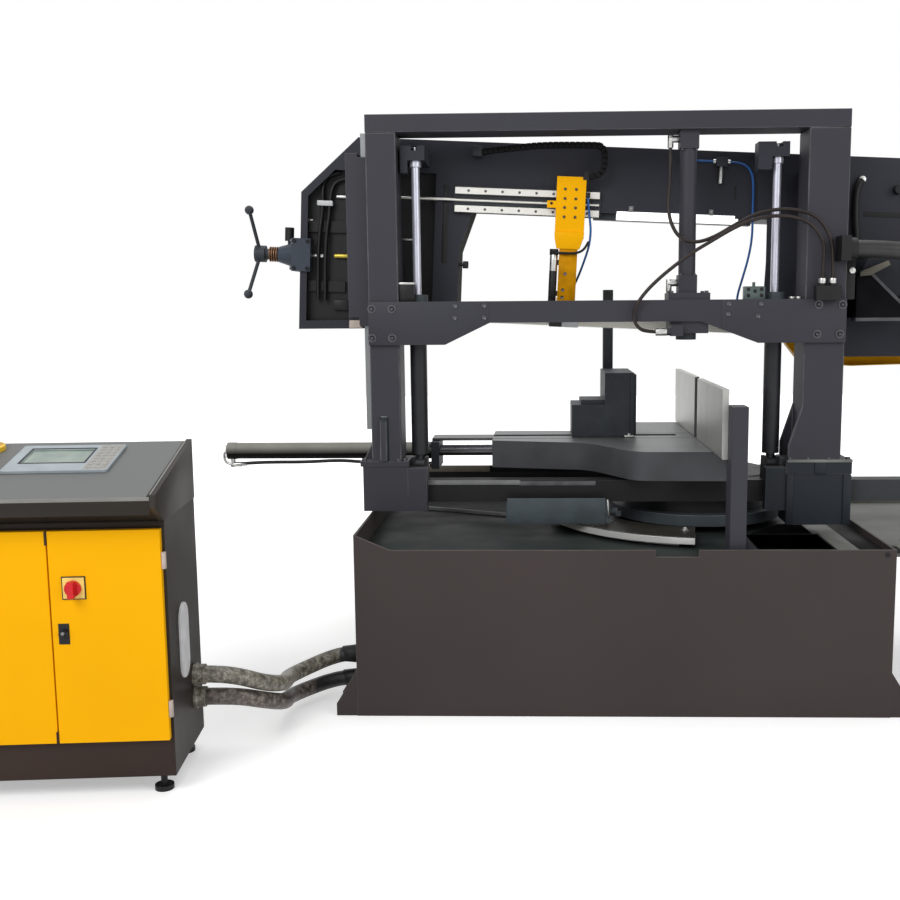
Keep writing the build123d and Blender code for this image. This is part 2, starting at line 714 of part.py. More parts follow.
nipple_z = cross_top + 50
hose_a = cord(
    "press hose",
    [
        (352, -378, nipple_z),
        (352, -378, 1448),
        (340, -388, 1512),
        (296, -396, 1573),
        (240, -402, 1610),
        (170, -404, 1623),
        (100, -404, 1610),
        (35, -404, 1578),
        (-25, -403, 1533),
        (-78, -401, 1487),
        (-128, -398, 1441),
        (-178, -392, 1400),
        (-224, -386, 1362),
        (-266, -382, 1314),
        (-272, -380, 1276),
        (-257, -379, 1244),
        (-227, port_y, port_z),
        (port_x - 14, port_y, port_z),
    ],
    12,
)
hose_b = cord(
    "press top hose",
    [
        (386, -378, nipple_z),
        (386, -378, 1455),
        (373, -380, 1524),
        (330, -382, 1592),
        (268, -384, 1634),
        (192, -384, 1646),
        (118, -383, 1630),
        (52, -382, 1594),
        (-8, -381, 1552),
        (-66, -379, 1524),
        (-122, -374, 1534),
        (-154, -362, 1586),
        (-157, -345, 1652),
        (-151, -322, 1720),
        (press_x - 60, press_y, 1784),
        (press_x - 60, press_y, top_beam_bottom - 60 + 34 - 10),
    ],
    12,
)
conduit = cord(
    "column conduit",
    [
        (428, -386, 1495),
        (552, -386, 1495),
        (668, -383, 1475),
        (764, -369, 1410),
        (828, -348, 1306),
        (848, -325, 1184),
        (846, -308, 1056),
        (840, -299, 928),
        (840, -299, tie_top + 26),
    ],
    58,
)
nodes["column_hoses"] = Compound([hose_a.solid(), hose_b.solid(), conduit.solid()])

# Saw head

head = Pos(0, 0, blade_height) * Rot(0, cant, 0)
lean = sin(radians(cant)) / cos(radians(cant))


def level_w(u, z):
    # Height in the head's frame of a point at u whose height above the floor is z.
    return (z - blade_height + u * sin(radians(cant))) / cos(radians(cant))


left_low = 1240.0
right_low = 1128.0


def bow_outline(inset):
    i = inset
    return [
        (bow_left + i, level_w(bow_left, left_low) + i),
        (bow_left + i, 418 - 0.4 * i),
        (-1250 + 0.4 * i, bow_top - i),
        (bow_right - 100 - 0.4 * i, bow_top - i),
        (bow_right - i, bow_top - 100 - 0.4 * i),
        (bow_right - i, level_w(bow_right, right_low) + i),
        (520 + 0.2 * i, level_w(520, right_low) + i),
        (400 + 0.2 * i, right_step_w + i),
        (leg_right_u + i, right_step_w + i),
        (leg_right_u + i, 237 + 0.2 * i),
        (155 + 0.6 * i, beam_bottom + i),
        (-832 - 0.6 * i, beam_bottom + i),
        (leg_left_u - i, 237 + 0.2 * i),
        (leg_left_u - i, level_w(leg_left_u, left_low) + i),
    ]


bow = slab_y(bow_outline(0), bow_front, bow_back)
bow -= slab_y(bow_outline(bow_sheet), bow_front + bow_sheet, bow_back)
window_low = level_w(window_u0, left_low) + 30
window = [
    (window_u0, window_low), (window_u0, 405), (window_u0 + 95, window_w1),
    (window_u1, window_w1), (window_u1, window_low + 22),
]
bow -= slab_y(window, bow_front, bow_front + bow_sheet)
recess = [
    (bow_left + 4, window_low - 20), (bow_left + 4, 414), (window_u0 + 86, window_w1 + 8),
    (window_u1 + 8, window_w1 + 8), (window_u1 + 8, window_low),
]
bow += slab_y(recess, recess_y - 4, recess_y + 4)
rib_front = recess_y - 16
for rib_w0, rib_w1 in ((282, 322), (71, 108)):
    bow += block(window_u0, -1290, rib_front, recess_y, rib_w0, rib_w1)
bow += block(window_u1, window_u1 + 8, bow_front + 5, recess_y, window_low + 4, window_w1 + 8)
bow += block(window_u0 + 95, window_u1 + 8, bow_front + 5, recess_y, window_w1, window_w1 + 8)
rear_plate = [
    (-1372, 484), (leg_left_u, 484), (leg_left_u, 400), (-836, beam_bottom + 5), (158, beam_bottom + 5),
    (leg_right_u + 5, 238), (leg_right_u + 5, right_step_w + 4), (335, right_step_w + 4),
    (leg_right_u + 70, 26), (leg_right_u + 70, 498),
    (bow_right - 5, 498), (bow_right - 5, 512), (bow_right - 104, bow_top - 5), (-1250, bow_top - 5),
]
bow += slab_y(rear_plate, bow_back - bow_sheet, bow_back)
bow -= block(-942, -927, bow_front, bow_front + bow_sheet, 230, 450)
for slot_u in (leg_left_u - bow_sheet, leg_right_u):
    bow -= block(slot_u, slot_u + bow_sheet, -26, 26, -27, 27)
bow -= block(bow_left - 5, -1411.8, bow_front - 5, 30.2, axis_w - 58.7, axis_w + 58.7)
bow -= bar_y(34, drive_u, bow_front, bow_front + bow_sheet, wheel_radius)
for lift_x, lug_out in ((lift_left_x, 48), (lift_right_x, 70)):
    tower = block(lift_x - 34, lift_x + 34, lift_y - 32, bow_front, 1804, 1852)
    tower += block(lift_x - lug_out, lift_x - 24, lift_y - 32, lift_y + 32, 1762, 1852)
    tower -= block(lift_x - 11, lift_x + 11, lift_y - 32, lift_y + 20, 1836, 1852)
    tower -= bar_z(lift_rod_radius + 0.2, lift_x, lift_y, 1780, 1836)
    bow += Rot(0, -cant, 0) * Pos(0, 0, -blade_height) * tower
nodes["bow_frame"] = head * bow

left_plate = block(-1232, left_col_x0 - rail_thick - 8, -312, bow_front, 1282, 1828)
left_plate += block(-1232, left_col_x0 - rail_thick - 8, bow_front, recess_y - 4, 1290, 1780)
right_plates = []
for low in (1300, 1640):
    left_plate += block(-1212, left_col_x0 - 8, -306, -234, low, low + 130)
    wagon = block(right_mid - 44, right_mid + 44, portal_back + 8, bow_front, low, low + 130)
    wagon -= block(
        right_mid - rail_width / 2 - gap, right_mid + rail_width / 2 + gap,
        portal_back, portal_back + rail_thick + gap, low, low + 130,
    )
    right_plates.append(wagon.solid())
left_plate -= block(
    left_col_x0 - rail_thick - gap, left_col_x0,
    lift_y - rail_width / 2 - gap, lift_y + rail_width / 2 + gap, 1200, 1900,
)
left_plate += block(-1232, -1196, -300, bow_front - 2, 1252, 1282)
left_plate += block(-1196, left_col_x0 - 2, -312, -292, 1252, 1815)
nodes["head_carriages"] = Compound([left_plate.solid(), *right_plates])

rods = []
for lift_x in (lift_left_x, lift_right_x):
    rod = bar_z(lift_rod_radius, lift_x, lift_y, 1215, 1836)
    rod += bar_z(22 - fit, lift_x, lift_y, 1215, 1245)
    rod += bar_z(20, lift_x, lift_y, 1784, 1804)
    rod += bar_z(8, lift_x, lift_y, 1836, 1850)
    rods.append(rod.solid())
nodes["lift_rods"] = Compound(rods)

# Blade: flat round the wheels and along the top, on edge between the guides, twisted in between

pitch_radius = wheel_radius + wheel_gap + blade_thick / 2
wheel_w = pitch_radius
lead = 42.0
left_edge_u = leg_left_u - 14
right_edge_u = leg_right_u + 12
half_thick = blade_thick / 2
half_width = blade_width / 2


def band_section(u, angle):
    across = (0, cos(radians(angle)), sin(radians(angle)))
    return Plane((u, 0, 0), x_dir=across, z_dir=(1, 0, 0)) * Rectangle(blade_width, blade_thick)


def twist(u0, u1, start, end, steps):
    run = (u1 - u0) / steps
    turn = (end - start) / steps
    return loft([band_section(u0 + run * k, start + turn * k) for k in range(steps + 1)], ruled=True)


count = int((right_edge_u - left_edge_u) // tooth_pitch)
edge = [(left_edge_u, half_width), (left_edge_u, -half_width + tooth_depth)]
first = left_edge_u + (right_edge_u - left_edge_u - count * tooth_pitch) / 2
for k in range(count):
    tooth_u = first + k * tooth_pitch
    edge.append((tooth_u + 0.5, -half_width + tooth_depth))
    edge.append((tooth_u + tooth_pitch * 0.75, -half_width))
    edge.append((tooth_u + tooth_pitch * 0.92, -half_width))
edge += [(right_edge_u, -half_width + tooth_depth), (right_edge_u, half_width)]
cutting = slab_y(edge, -half_thick, half_thick)
blade = cutting
blade += twist(idler_u + lead, left_edge_u, 0, 90, 6)
blade += twist(right_edge_u, drive_u - lead, 90, 0, 6)
blade += block(idler_u, idler_u + lead, -half_width, half_width, -half_thick, half_thick)
blade += block(drive_u - lead, drive_u, -half_width, half_width, -half_thick, half_thick)
blade += block(
    idler_u, drive_u, -half_width, half_width, 2 * wheel_w - half_thick, 2 * wheel_w + half_thick,
)
for wheel_u, way in ((idler_u, -1), (drive_u, 1)):
    hoop = bar_y(pitch_radius + half_thick, wheel_u, -half_width, half_width, wheel_w)
    hoop -= bar_y(pitch_radius - half_thick, wheel_u, -half_width, half_width, wheel_w)
    far_u = wheel_u + way * 300
    hoop &= block(min(wheel_u, far_u), max(wheel_u, far_u), -50, 50, wheel_w - 300, wheel_w + 300)
    blade += hoop
nodes["saw_blade"] = head * blade

half_wheel = wheel_width / 2
shaft_radius = 25.0
slide_back = -28.4


def band_wheel(wheel_u, hub_front, hub_bore):
    rim = [
        (wheel_radius - 24, -half_wheel), (wheel_radius, -half_wheel), (wheel_radius, half_width + 0.8),
        (wheel_radius + 5, half_width + 0.8), (wheel_radius + 5, half_wheel + 4),
        (wheel_radius - 24, half_wheel + 4),
    ]
    wheel = turned(rim, wheel_u, wheel_w)
    wheel += turned([(60, -7), (wheel_radius - 20, -7), (wheel_radius - 20, 7), (60, 7)], wheel_u, wheel_w)
    hub = [(hub_bore, hub_front), (64, hub_front), (64, half_wheel), (hub_bore, half_wheel)]
    wheel += turned(hub, wheel_u, wheel_w)
    for k in range(6):
        turn = radians(60 * k)
        hole_u = wheel_u + 122 * cos(turn)
        hole_w = wheel_w + 122 * sin(turn)
        wheel -= bar_y(30, hole_u, -10, 10, hole_w)
    return wheel


nodes["idler_wheel"] = head * band_wheel(idler_u, -28, shaft_radius + fit)
drive_shaft = 30.0
drive = band_wheel(drive_u, -44, 10)
drive += bar_y(drive_shaft, drive_u, -186, -30, wheel_w)
nodes["drive_wheel"] = head * drive

slide = block(-1265, -1105, recess_y + 4 + gap, slide_back, 120, 290)
slide += bar_y(shaft_radius, idler_u, slide_back, half_wheel + 14, wheel_w)
slide += bar_y(shaft_radius + 10, idler_u, half_wheel + 0.4, half_wheel + 14, wheel_w)
slide -= bar_x(screw_radius + fit, -1265, -1150, axis_y, axis_w)
nodes["tension_slide"] = head * slide

housing = block(-1480, -1412, -110, 30, axis_w - 58.5, axis_w + 58.5)
housing += Pos(-1510, axis_y, axis_w) * Rot(0, -90, 0) * Cone(46, 28, 60)
housing -= bar_x(screw_radius + fit, -1560, -1400, axis_y, axis_w)
housing += bar_z(6, -1503, axis_y, axis_w + 30, axis_w + 52)
housing += bar_z(16.5, -1503, axis_y, axis_w + 50, axis_w + 98)
nodes["tension_housing"] = head * housing

handle = bar_x(screw_radius, hub_u, -1160, axis_y, axis_w)
handle += bar_x(30, hub_u - 24, hub_u + 14, axis_y, axis_w)
handle += bar_x(19, hub_u + 14, hub_u + 28, axis_y, axis_w)
arm_length = 172.0
for angle in (-30, 90, 210):
    lean_out = 7.0
    up = Plane((hub_u - 6, axis_y, axis_w), x_dir=(1, 0, 0), z_dir=(
        -sin(radians(lean_out)),
        cos(radians(lean_out)) * sin(radians(angle)),
        cos(radians(lean_out)) * cos(radians(angle)),
    ))
    handle += extrude(up * Circle(6.5), amount=arm_length)
    handle += Pos(*(up.origin + up.z_dir * arm_length)) * Sphere(16)
springs = []
for k in range(4):
    low = hub_u + 28 + k * 8.4
    springs += [(25.0, low + 0.4), (27.5, low + 1.4), (27.5, low + 4.2), (22.0, low + 8.0)]
spring_bore = screw_radius + 0.1
spring_line = [(spring_bore, hub_u + 28.2), *springs, (spring_bore, hub_u + 61.8)]
spring_face = make_face(Polyline(*[(x, r, 0) for r, x in spring_line], close=True))
stack = Pos(0, axis_y, axis_w) * revolve(spring_face, Axis.X)
nodes["tension_handle"] = Compound([(head * handle).solid(), (head * stack).solid()])

rails = []
for rail_w in (rail_high_w, rail_low_w):
    rail = block(arm_rail_u0, arm_rail_u1, bow_front - 24, bow_front - 8, rail_w - 11.5, rail_w + 11.5)
    rails.append(rail)
carrier = block(arm_rail_u0 - 6, arm_rail_u1 + 6, bow_front - 8, bow_front, 366, 462)
carrier += rails[0]
carrier += rails[1]
carrier += bar_x(5, -1188, arm_rail_u1, bow_front - 12, 411)
nodes["arm_rails"] = head * carrier

plate_front = -166.0
plate_back = -150.0
arm_low_half = 31.5
arm = slab_y(
    [
        (arm_u - arm_half, 500), (arm_u - arm_half, 290), (arm_u - arm_low_half, 250),
        (arm_u - arm_low_half, 60), (arm_u + arm_low_half, 60), (arm_u + arm_low_half, 250),
        (arm_u + arm_half, 290), (arm_u + arm_half, 500),
    ],
    plate_front, plate_back,
)
for rail_w in (rail_high_w, rail_low_w):
    wagon = block(arm_u - 46, arm_u + 46, plate_back, bow_front - 12, rail_w - 26, rail_w + 26)
    wagon -= block(
        arm_u - 46, arm_u + 46, bow_front - 24 - gap, bow_front,
        rail_w - 11.5 - gap, rail_w + 11.5 + gap,
    )
    arm += wagon
arm += block(arm_u - arm_low_half, arm_u + arm_low_half, plate_back, -112, 40, 300)
arm += block(arm_u - arm_low_half, arm_u + arm_low_half, -112, 24, 28, 84)
for cheek_y in (-17, 1.0):
    arm += block(arm_u - 26, arm_u + 26, cheek_y, cheek_y + 16, -7, 28)
arm -= block(arm_u - 40, arm_u + 40, -1.0, 1.0, -30, half_width + 2)
arm += bar_z(13.5, arm_u - 50, -150, 62, 231) + bar_z(15, arm_u - 50, -150, 231, 250)
for link_w in (88, 196):
    arm += block(arm_u - 50, arm_u - arm_low_half + 4, -158, -142, link_w, link_w + 18)
arm += block(arm_u - 82, arm_u - arm_half, plate_front, plate_back, 392, 416)
arm += block(arm_u + arm_half - 12, arm_u + arm_half + 8.7, -168, -148, 490, 518)
arm += block(arm_u + arm_half, arm_u + arm_half + 15, plate_front, plate_back, 432, 448)
nodes["guide_arm"] = head * arm
tube_u = arm_u + arm_half + 8
spray = cord(
    "arm tube",
    [
        (tube_u, -158, 431.7), (tube_u + 1, -158, 372), (tube_u + 3, -155, 312), (tube_u + 4, -148, 258),
        (tube_u + 2, -136, 212), (tube_u - 6, -118, 172), (tube_u - 22, -100, 140), (arm_u + 22, -90, 112),
        (arm_u + 22, -90, 84.3),
    ],
    8,
)
nodes["arm_tube"] = head * spray

fixed = block(fixed_u0, leg_right_u, -125, 24, 28, 84)
fixed += block(fixed_u0 + 16, leg_right_u, -34, -17, -28, 28)
for cheek_y in (-17, 1.0):
    fixed += block(fixed_u0 + 4, leg_right_u - 4, cheek_y, cheek_y + 16, -7, 28)
fixed -= block(fixed_u0, leg_right_u, -1.0, 1.0, -30, half_width + 2)
nodes["fixed_guide"] = head * fixed

light = block(-322, 109, -72, -40, 366, beam_bottom)
for end_u0, end_u1 in ((-405, -322), (109, 153)):
    light += block(end_u0, end_u1, -78, -34, 364, beam_bottom)
nodes["light_bar"] = head * light

flange_plane = Plane((drive_u, bow_front, wheel_w), x_dir=(1, 0, 0), z_dir=(0, -1, 0))
flange = extrude(flange_plane * RegularPolygon(104, 8, rotation=22.5), amount=25)
gear = flange + bar_y(82, drive_u, -225, bow_front - 25, wheel_w)
gear += block(drive_u - 60, drive_u + 96, -222, -134, wheel_w - 70, wheel_w + 70)
gear += bar_x(74, drive_u + 96, drive_u + 116, -178, wheel_w)
gear += bar_x(60, drive_u + 116, drive_u + 330, -178, wheel_w)
for k in range(7):
    fin_u = drive_u + 130 + 24 * k
    gear += bar_x(70, fin_u, fin_u + 9, -178, wheel_w)
gear += bar_x(68, drive_u + 310, drive_u + 350, -178, wheel_w)
gear += block(drive_u + 170, drive_u + 260, -222, -134, wheel_w + 50, wheel_w + 102)
gear -= bar_y(drive_shaft + fit, drive_u, -190, bow_front, wheel_w)
nodes["gear_motor"] = head * gear

hose_y = rib_front - 7.3
strip = []
for hose_u in (-1388, -1362):
    strip.append(
        head
        * cord(
            "leg hose",
            [
                (hose_u + 14, hose_y, 396),
                (hose_u + 12, hose_y, 350),
                (hose_u + 4, hose_y - 3, 285),
                (hose_u, hose_y - 4, 195),
                (hose_u + 1, hose_y - 1, 105),
                (hose_u + 2, hose_y, 40),
            ],
            14,
        )
    )
valve_u0 = 11.0
valve_u1 = 51.0
tube_w = 577.0
nozzle_u = 116.0
nozzle_y = -119.0
tube = cord(
    "air tube",
    [
        (valve_u1 + 3, -114, tube_w), (84, -114, tube_w), (110, -115, 571), (130, -116, 555),
        (142, -118, 530), (147, -119, 484), (150, -120, 400), (154, -121, 320), (146, -121, 250),
        (133, -120, 190), (nozzle_u + 4, nozzle_y, 135), (nozzle_u, nozzle_y, 108), (nozzle_u, nozzle_y, 84),
    ],
    8,
)
short_tube = cord("short air tube", [(-74, -114, tube_w), (valve_u0 - 3, -114, tube_w)], 8)
valve = block(valve_u0, valve_u1, -128, bow_front, 560, 590) + bar_z(8, 31, -114, 502, 560)
valve += bar_x(8, valve_u0 - 10, valve_u1 + 10, -114, tube_w)
valve -= bar_x(4.2, valve_u1, valve_u1 + 10, -114, tube_w)
valve -= bar_x(4.2, valve_u0 - 10, valve_u0, -114, tube_w)
tube_end = block(-98, -72, -128, bow_front, 562, 592)
tube_end -= bar_x(4.2, -76, -72, -114, tube_w)
elbow = block(nozzle_u - 12, nozzle_u + 12, nozzle_y - 12, nozzle_y + 12, 56, 80)
elbow += bar_z(8, nozzle_u, nozzle_y, 80, 92) + bar_x(6, nozzle_u + 12, fixed_u0, nozzle_y, 66)
elbow -= bar_z(4.2, nozzle_u, nozzle_y, 82, 92)
chain_y = -156.0
chain_u0 = -805.7
gland = block(chain_u0 - 34, chain_u0 - 1.9, chain_y - 14, bow_front, 558, 592)
nodes["head_hoses"] = Compound(
    [
        strip[0].solid(), strip[1].solid(), (head * tube).solid(), (head * short_tube).solid(),
        (head * valve).solid(), (head * tube_end).solid(), (head * elbow).solid(), (head * gland).solid(),
    ]
)

# Drag chain: it rises from its bracket, turns back at the right and ends on the arm

turn_u = -379.0
chain_run = FilletPolyline(
    (chain_u0, chain_y, 574), (-600, chain_y, 604), (turn_u, chain_y, 610), (turn_u, chain_y, 505),
    (arm_u + arm_half + 9, chain_y, 505), radius=[400, 50, 50],
)
chain_start = Plane(origin=chain_run @ 0, x_dir=(0, 1, 0), z_dir=chain_run % 0)
chain = sweep(chain_start * RectangleRounded(26, 22, 5), path=chain_run)
nodes["arm_hose"] = head * chain


def wheel_cover(outline, inner, hinge_u, hinge_w):
    lid = slab_y(outline, cover_y0, cover_y1)
    lid -= slab_y(inner, cover_y0, cover_y1 - 4)
    for knuckle_w in hinge_w:
        lid += Pos(hinge_u, cover_y0 + 8, knuckle_w) * Cylinder(8, 70)
    return lid


left_in = leg_left_u - 6
nodes["wheel_cover_left"] = head * wheel_cover(
    [(bow_left, -60), (bow_left, 418), (bow_left + 72, 489), (left_in, 489), (left_in, -60)],
    [(bow_left + 4, -56), (bow_left + 4, 416), (bow_left + 74, 485), (left_in - 4, 485), (left_in - 4, -56)],
    bow_left - 6, (30, 340),
)
right_in = leg_right_u + 73
nodes["wheel_cover_right"] = head * wheel_cover(
    [
        (right_in, 20), (right_in, 502), (bow_right, 502), (bow_right, -104), (600, -125), (411, -118),
        (341, -38),
    ],
    [
        (right_in + 4, 22), (right_in + 4, 498), (bow_right - 4, 498), (bow_right - 4, -100), (600, -121),
        (413, -114), (345, -36),
    ],
    bow_right + 6, (-20, 400),
)

os.makedirs("parts", exist_ok=True)
for name, shape in nodes.items():
    export_step(shape, "parts/" + name + ".step")
print(len(nodes), "nodes")
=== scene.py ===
import json
import math

import bmesh
import bpy
from mathutils import Matrix, Vector


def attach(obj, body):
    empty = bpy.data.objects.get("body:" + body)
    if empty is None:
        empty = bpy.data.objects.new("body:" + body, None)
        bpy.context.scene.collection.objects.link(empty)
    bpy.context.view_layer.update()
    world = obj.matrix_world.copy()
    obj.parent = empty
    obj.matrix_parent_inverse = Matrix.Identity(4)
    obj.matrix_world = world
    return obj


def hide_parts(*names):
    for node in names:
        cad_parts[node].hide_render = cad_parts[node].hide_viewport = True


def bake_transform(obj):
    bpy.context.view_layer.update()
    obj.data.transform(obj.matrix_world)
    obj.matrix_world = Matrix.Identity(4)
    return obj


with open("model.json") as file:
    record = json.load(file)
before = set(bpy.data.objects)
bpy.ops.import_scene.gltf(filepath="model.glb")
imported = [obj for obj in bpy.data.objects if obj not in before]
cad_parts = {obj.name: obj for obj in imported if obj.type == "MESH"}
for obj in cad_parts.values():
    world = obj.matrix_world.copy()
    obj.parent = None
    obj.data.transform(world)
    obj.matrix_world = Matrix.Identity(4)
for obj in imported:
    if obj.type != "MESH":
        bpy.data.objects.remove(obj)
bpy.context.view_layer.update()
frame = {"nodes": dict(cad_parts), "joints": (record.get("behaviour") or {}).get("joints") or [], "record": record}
nodes = frame["nodes"]
joints = {item["name"]: item for item in frame["joints"]}
bodyOf = {node: body for body, held in frame["record"]["behaviour"]["bodies"].items() for node in held}
scene = bpy.context.scene
mm = 0.001
print("frame loaded:", len(nodes), "nodes")

# The head hangs at the cant of the arm's slide, the cabinet is turned on the floor
places = {"bladeHeight": 1.237, "cabinetCorner": (-1.575, -1.241, 0), "cabinetTurn": 5.0}
slideAxis = joints["arm_slide"]["axis"]
headCant = math.atan2(-slideAxis[2], slideAxis[0])
headPlace = Matrix.Translation((0, 0, places["bladeHeight"])) @ Matrix.Rotation(headCant, 4, "Y")
cabinetTurn = Matrix.Rotation(math.radians(places["cabinetTurn"]), 4, "Z")
cabinetPlace = Matrix.Translation(places["cabinetCorner"]) @ cabinetTurn
machine = Matrix()

cameraSettings = {
    "place": (-0.592, -4.004, 1.313),
    "focal": 1077.0,            # in pixels of the 900 wide picture
    "picture": 900.0,
    "centre": (505.0, 450.0),   # where the lens axis meets the picture
    "pitch": 7.56,
    "yaw": 1.7,
    "roll": 0.42,
    "sensor": 36.0,
}


def makeCamera(s):
    lens = bpy.data.cameras.new("photoCamera")
    lens.sensor_width = s["sensor"]
    lens.lens = s["focal"] / s["picture"] * s["sensor"]
    lens.shift_x = (s["picture"] / 2 - s["centre"][0]) / s["picture"]
    lens.shift_y = (s["centre"][1] - s["picture"] / 2) / s["picture"]
    camera = bpy.data.objects.new("photoCamera", lens)
    aim = Matrix.Rotation(math.radians(s["yaw"]), 4, "Z")
    aim @= Matrix.Rotation(math.radians(90 - s["pitch"]), 4, "X")
    aim @= Matrix.Rotation(math.radians(-s["roll"]), 4, "Z")
    camera.matrix_world = Matrix.Translation(s["place"]) @ aim
    scene.collection.objects.link(camera)
    scene.camera = camera


makeCamera(cameraSettings)
print("camera set")


def tint(red, green, blue):
    # A colour as seen on a screen, as linear light
    return tuple(((c / 255 + 0.055) / 1.055) ** 2.4 for c in (red, green, blue)) + (1.0,)


def shade(colour, amount):
    return tuple(min(1.0, c * amount) for c in colour[:3]) + (1.0,)


def feed(tree, node, values):
    # A socket is linked to the input, any other value is set on it
    for name, value in values.items():
        if isinstance(value, bpy.types.NodeSocket):
            tree.links.new(value, node.inputs[name])
        else:
            node.inputs[name].default_value = value
    return node


def addNode(tree, kind, values):
    return feed(tree, tree.nodes.new("ShaderNode" + kind), values)


finish = {}


def newFinish(name):
    finish[name] = bpy.data.materials.new(name)
    finish[name].use_nodes = True
    tree = finish[name].node_tree
    spot = tree.nodes.new("ShaderNodeTexCoord").outputs["Object"]
    return tree, tree.nodes["Principled BSDF"], spot


def addNoise(tree, spot, scale, detail=3.0, stretch=None):
    if stretch:
        spot = addNode(tree, "Mapping", {"Vector": spot, "Scale": stretch}).outputs["Vector"]
    return addNode(tree, "TexNoise", {"Vector": spot, "Scale": scale, "Detail": detail}).outputs["Fac"]


def addRamp(tree, value, colours, places=(0.3, 0.7)):
    node = addNode(tree, "ValToRGB", {"Fac": value})
    ramp = node.color_ramp
    while len(ramp.elements) < len(places):
        ramp.elements.new(0.5)
    for element, place, colour in zip(ramp.elements, places, colours):
        element.position = place
        element.color = colour
    return node.outputs["Color"]


def addRange(tree, value, low, high, start=0.3, stop=0.7):
    values = {"Value": value, "From Min": start, "From Max": stop, "To Min": low, "To Max": high}
    return addNode(tree, "MapRange", values).outputs["Result"]


def addMix(tree, factor, first, second):
    return addNode(tree, "MixRGB", {"Fac": factor, "Color1": first, "Color2": second}).outputs["Color"]


def addBump(tree, height, strength, distance):
    values = {"Height": height, "Strength": strength, "Distance": distance}
    return addNode(tree, "Bump", values).outputs["Normal"]


def alongAxis(tree, vector, axis):
    return addNode(tree, "SeparateXYZ", {"Vector": vector}).outputs[axis]


def makePaint(
    name, colour, rough=(0.4, 0.6), cloud=2.2, dark=0.88, pale=1.1, gloss=0.2, dust=0.0, paintedShade=None,
    shadeColour=None, clouds=(0.32, 0.68), peel=420.0, bump=0.12, depth=0.0004, dustColour=(186, 184, 178),
    lying=(0.55, 1.0),
):
    # Powder coat: cloudy colour, fine orange peel, a little dust on what faces up, and painted shade along an axis
    # where asked
    tree, shader, spot = newFinish(name)
    base = tint(*colour)
    haze = addNoise(tree, spot, cloud, 4.0)
    shown = addRamp(tree, haze, [shade(base, dark), shade(base, pale)], clouds)
    if dust:
        facing = tree.nodes.new("ShaderNodeNewGeometry").outputs["Normal"]
        dusty = addRange(tree, alongAxis(tree, facing, "Z"), 0.0, dust, *lying)
        shown = addMix(tree, dusty, shown, tint(*dustColour))
    if paintedShade:      # painted shade, from lit to shaded between two places along an axis
        axis, litAt, shadedAt = paintedShade
        shadeAmount = addRange(tree, alongAxis(tree, spot, axis), 0.0, 1.0, litAt, shadedAt)
        shown = addMix(tree, shadeAmount, shown, tint(*shadeColour))
    feed(tree, shader, {
        "Base Color": shown, "Roughness": addRange(tree, haze, *rough), "Specular IOR Level": gloss,
        "Normal": addBump(tree, addNoise(tree, spot, peel, 2.0), bump, depth),
    })


def makeMetal(
    name, colour, rough, marks=90.0, stretch=(1, 1, 1), dirt=0.35, soil=None, metal=1.0, bump=0.15,
    groove=0.86, soiling=0.55, stain=7.0, stains=(0.5, 0.78), depth=0.0003,
):
    # Machined or plated steel: long tool marks, faint stains
    tree, shader, spot = newFinish(name)
    base = tint(*colour)
    lines = addNoise(tree, spot, marks, 3.0, stretch)
    stained = addRange(tree, addNoise(tree, spot, stain, 5.0), 0.0, dirt, *stains)
    shown = addRamp(tree, lines, [shade(base, groove), base])
    feed(tree, shader, {
        "Base Color": addMix(tree, stained, shown, tint(*soil) if soil else shade(base, soiling)),
        "Roughness": addRange(tree, lines, *rough), "Normal": addBump(tree, lines, bump, depth),
        "Metallic": metal,
    })


def makeCoat(
    name, colour, rough, grain=260.0, wear=14.0, bump=0.25, pale=1.2, metal=0.0, gloss=0.25,
    dark=0.8, wears=(0.35, 0.65), depth=0.0006,
):
    # Rubber, moulded plastic and castings: grain in colour, roughness and bump
    tree, shader, spot = newFinish(name)
    base = tint(*colour)
    fine, wide = addNoise(tree, spot, grain, 4.0), addNoise(tree, spot, wear, 4.0)
    feed(tree, shader, {
        "Base Color": addRamp(tree, wide, [shade(base, dark), shade(base, pale)], wears),
        "Roughness": addRange(tree, fine, *rough), "Normal": addBump(tree, fine, bump, depth),
        "Metallic": metal, "Specular IOR Level": gloss,
    })


def makeBraid(
    name, colours, sleeve, mottle=62.0, mottles=(0.34, 0.5, 0.66), strand=170.0, weave=0.55, weaves=(0.3, 0.8),
    rubber=(34, 33, 34), hem=0.004, rough=(0.32, 0.6), bump=0.6, depth=0.0012,
):
    # Wire braid over the floor conduits: crossed strands along the tube, black sleeve at the base end
    tree, shader, spot = newFinish(name)
    tones = [tint(*colour) for colour in colours]
    cloud = addNoise(tree, spot, mottle, 5.0)
    strands = addNode(tree, "TexVoronoi", {"Vector": spot, "Scale": strand}).outputs["Distance"]
    crossed = addRange(tree, strands, 0.0, weave, *weaves)
    woven = addMix(tree, crossed, addRamp(tree, cloud, tones, mottles), tones[0])
    covered = addRange(tree, alongAxis(tree, spot, "X"), 0.0, 1.0, sleeve - hem, sleeve + hem)
    feed(tree, shader, {
        "Base Color": addMix(tree, covered, woven, tint(*rubber)),
        "Roughness": addRange(tree, cloud, *rough), "Normal": addBump(tree, strands, bump, depth),
    })


def makeLamp(name, colour, dark, haze, rough, bump, depth, glow):
    # Milky cover that shines
    tree, shader, spot = newFinish(name)
    base = tint(*colour)
    milk = addNoise(tree, spot, haze, 3.0)
    feed(tree, shader, {
        "Base Color": addRamp(tree, milk, [shade(base, dark), base]), "Roughness": addRange(tree, milk, *rough),
        "Normal": addBump(tree, milk, bump, depth), "Emission Color": base, "Emission Strength": glow,
    })


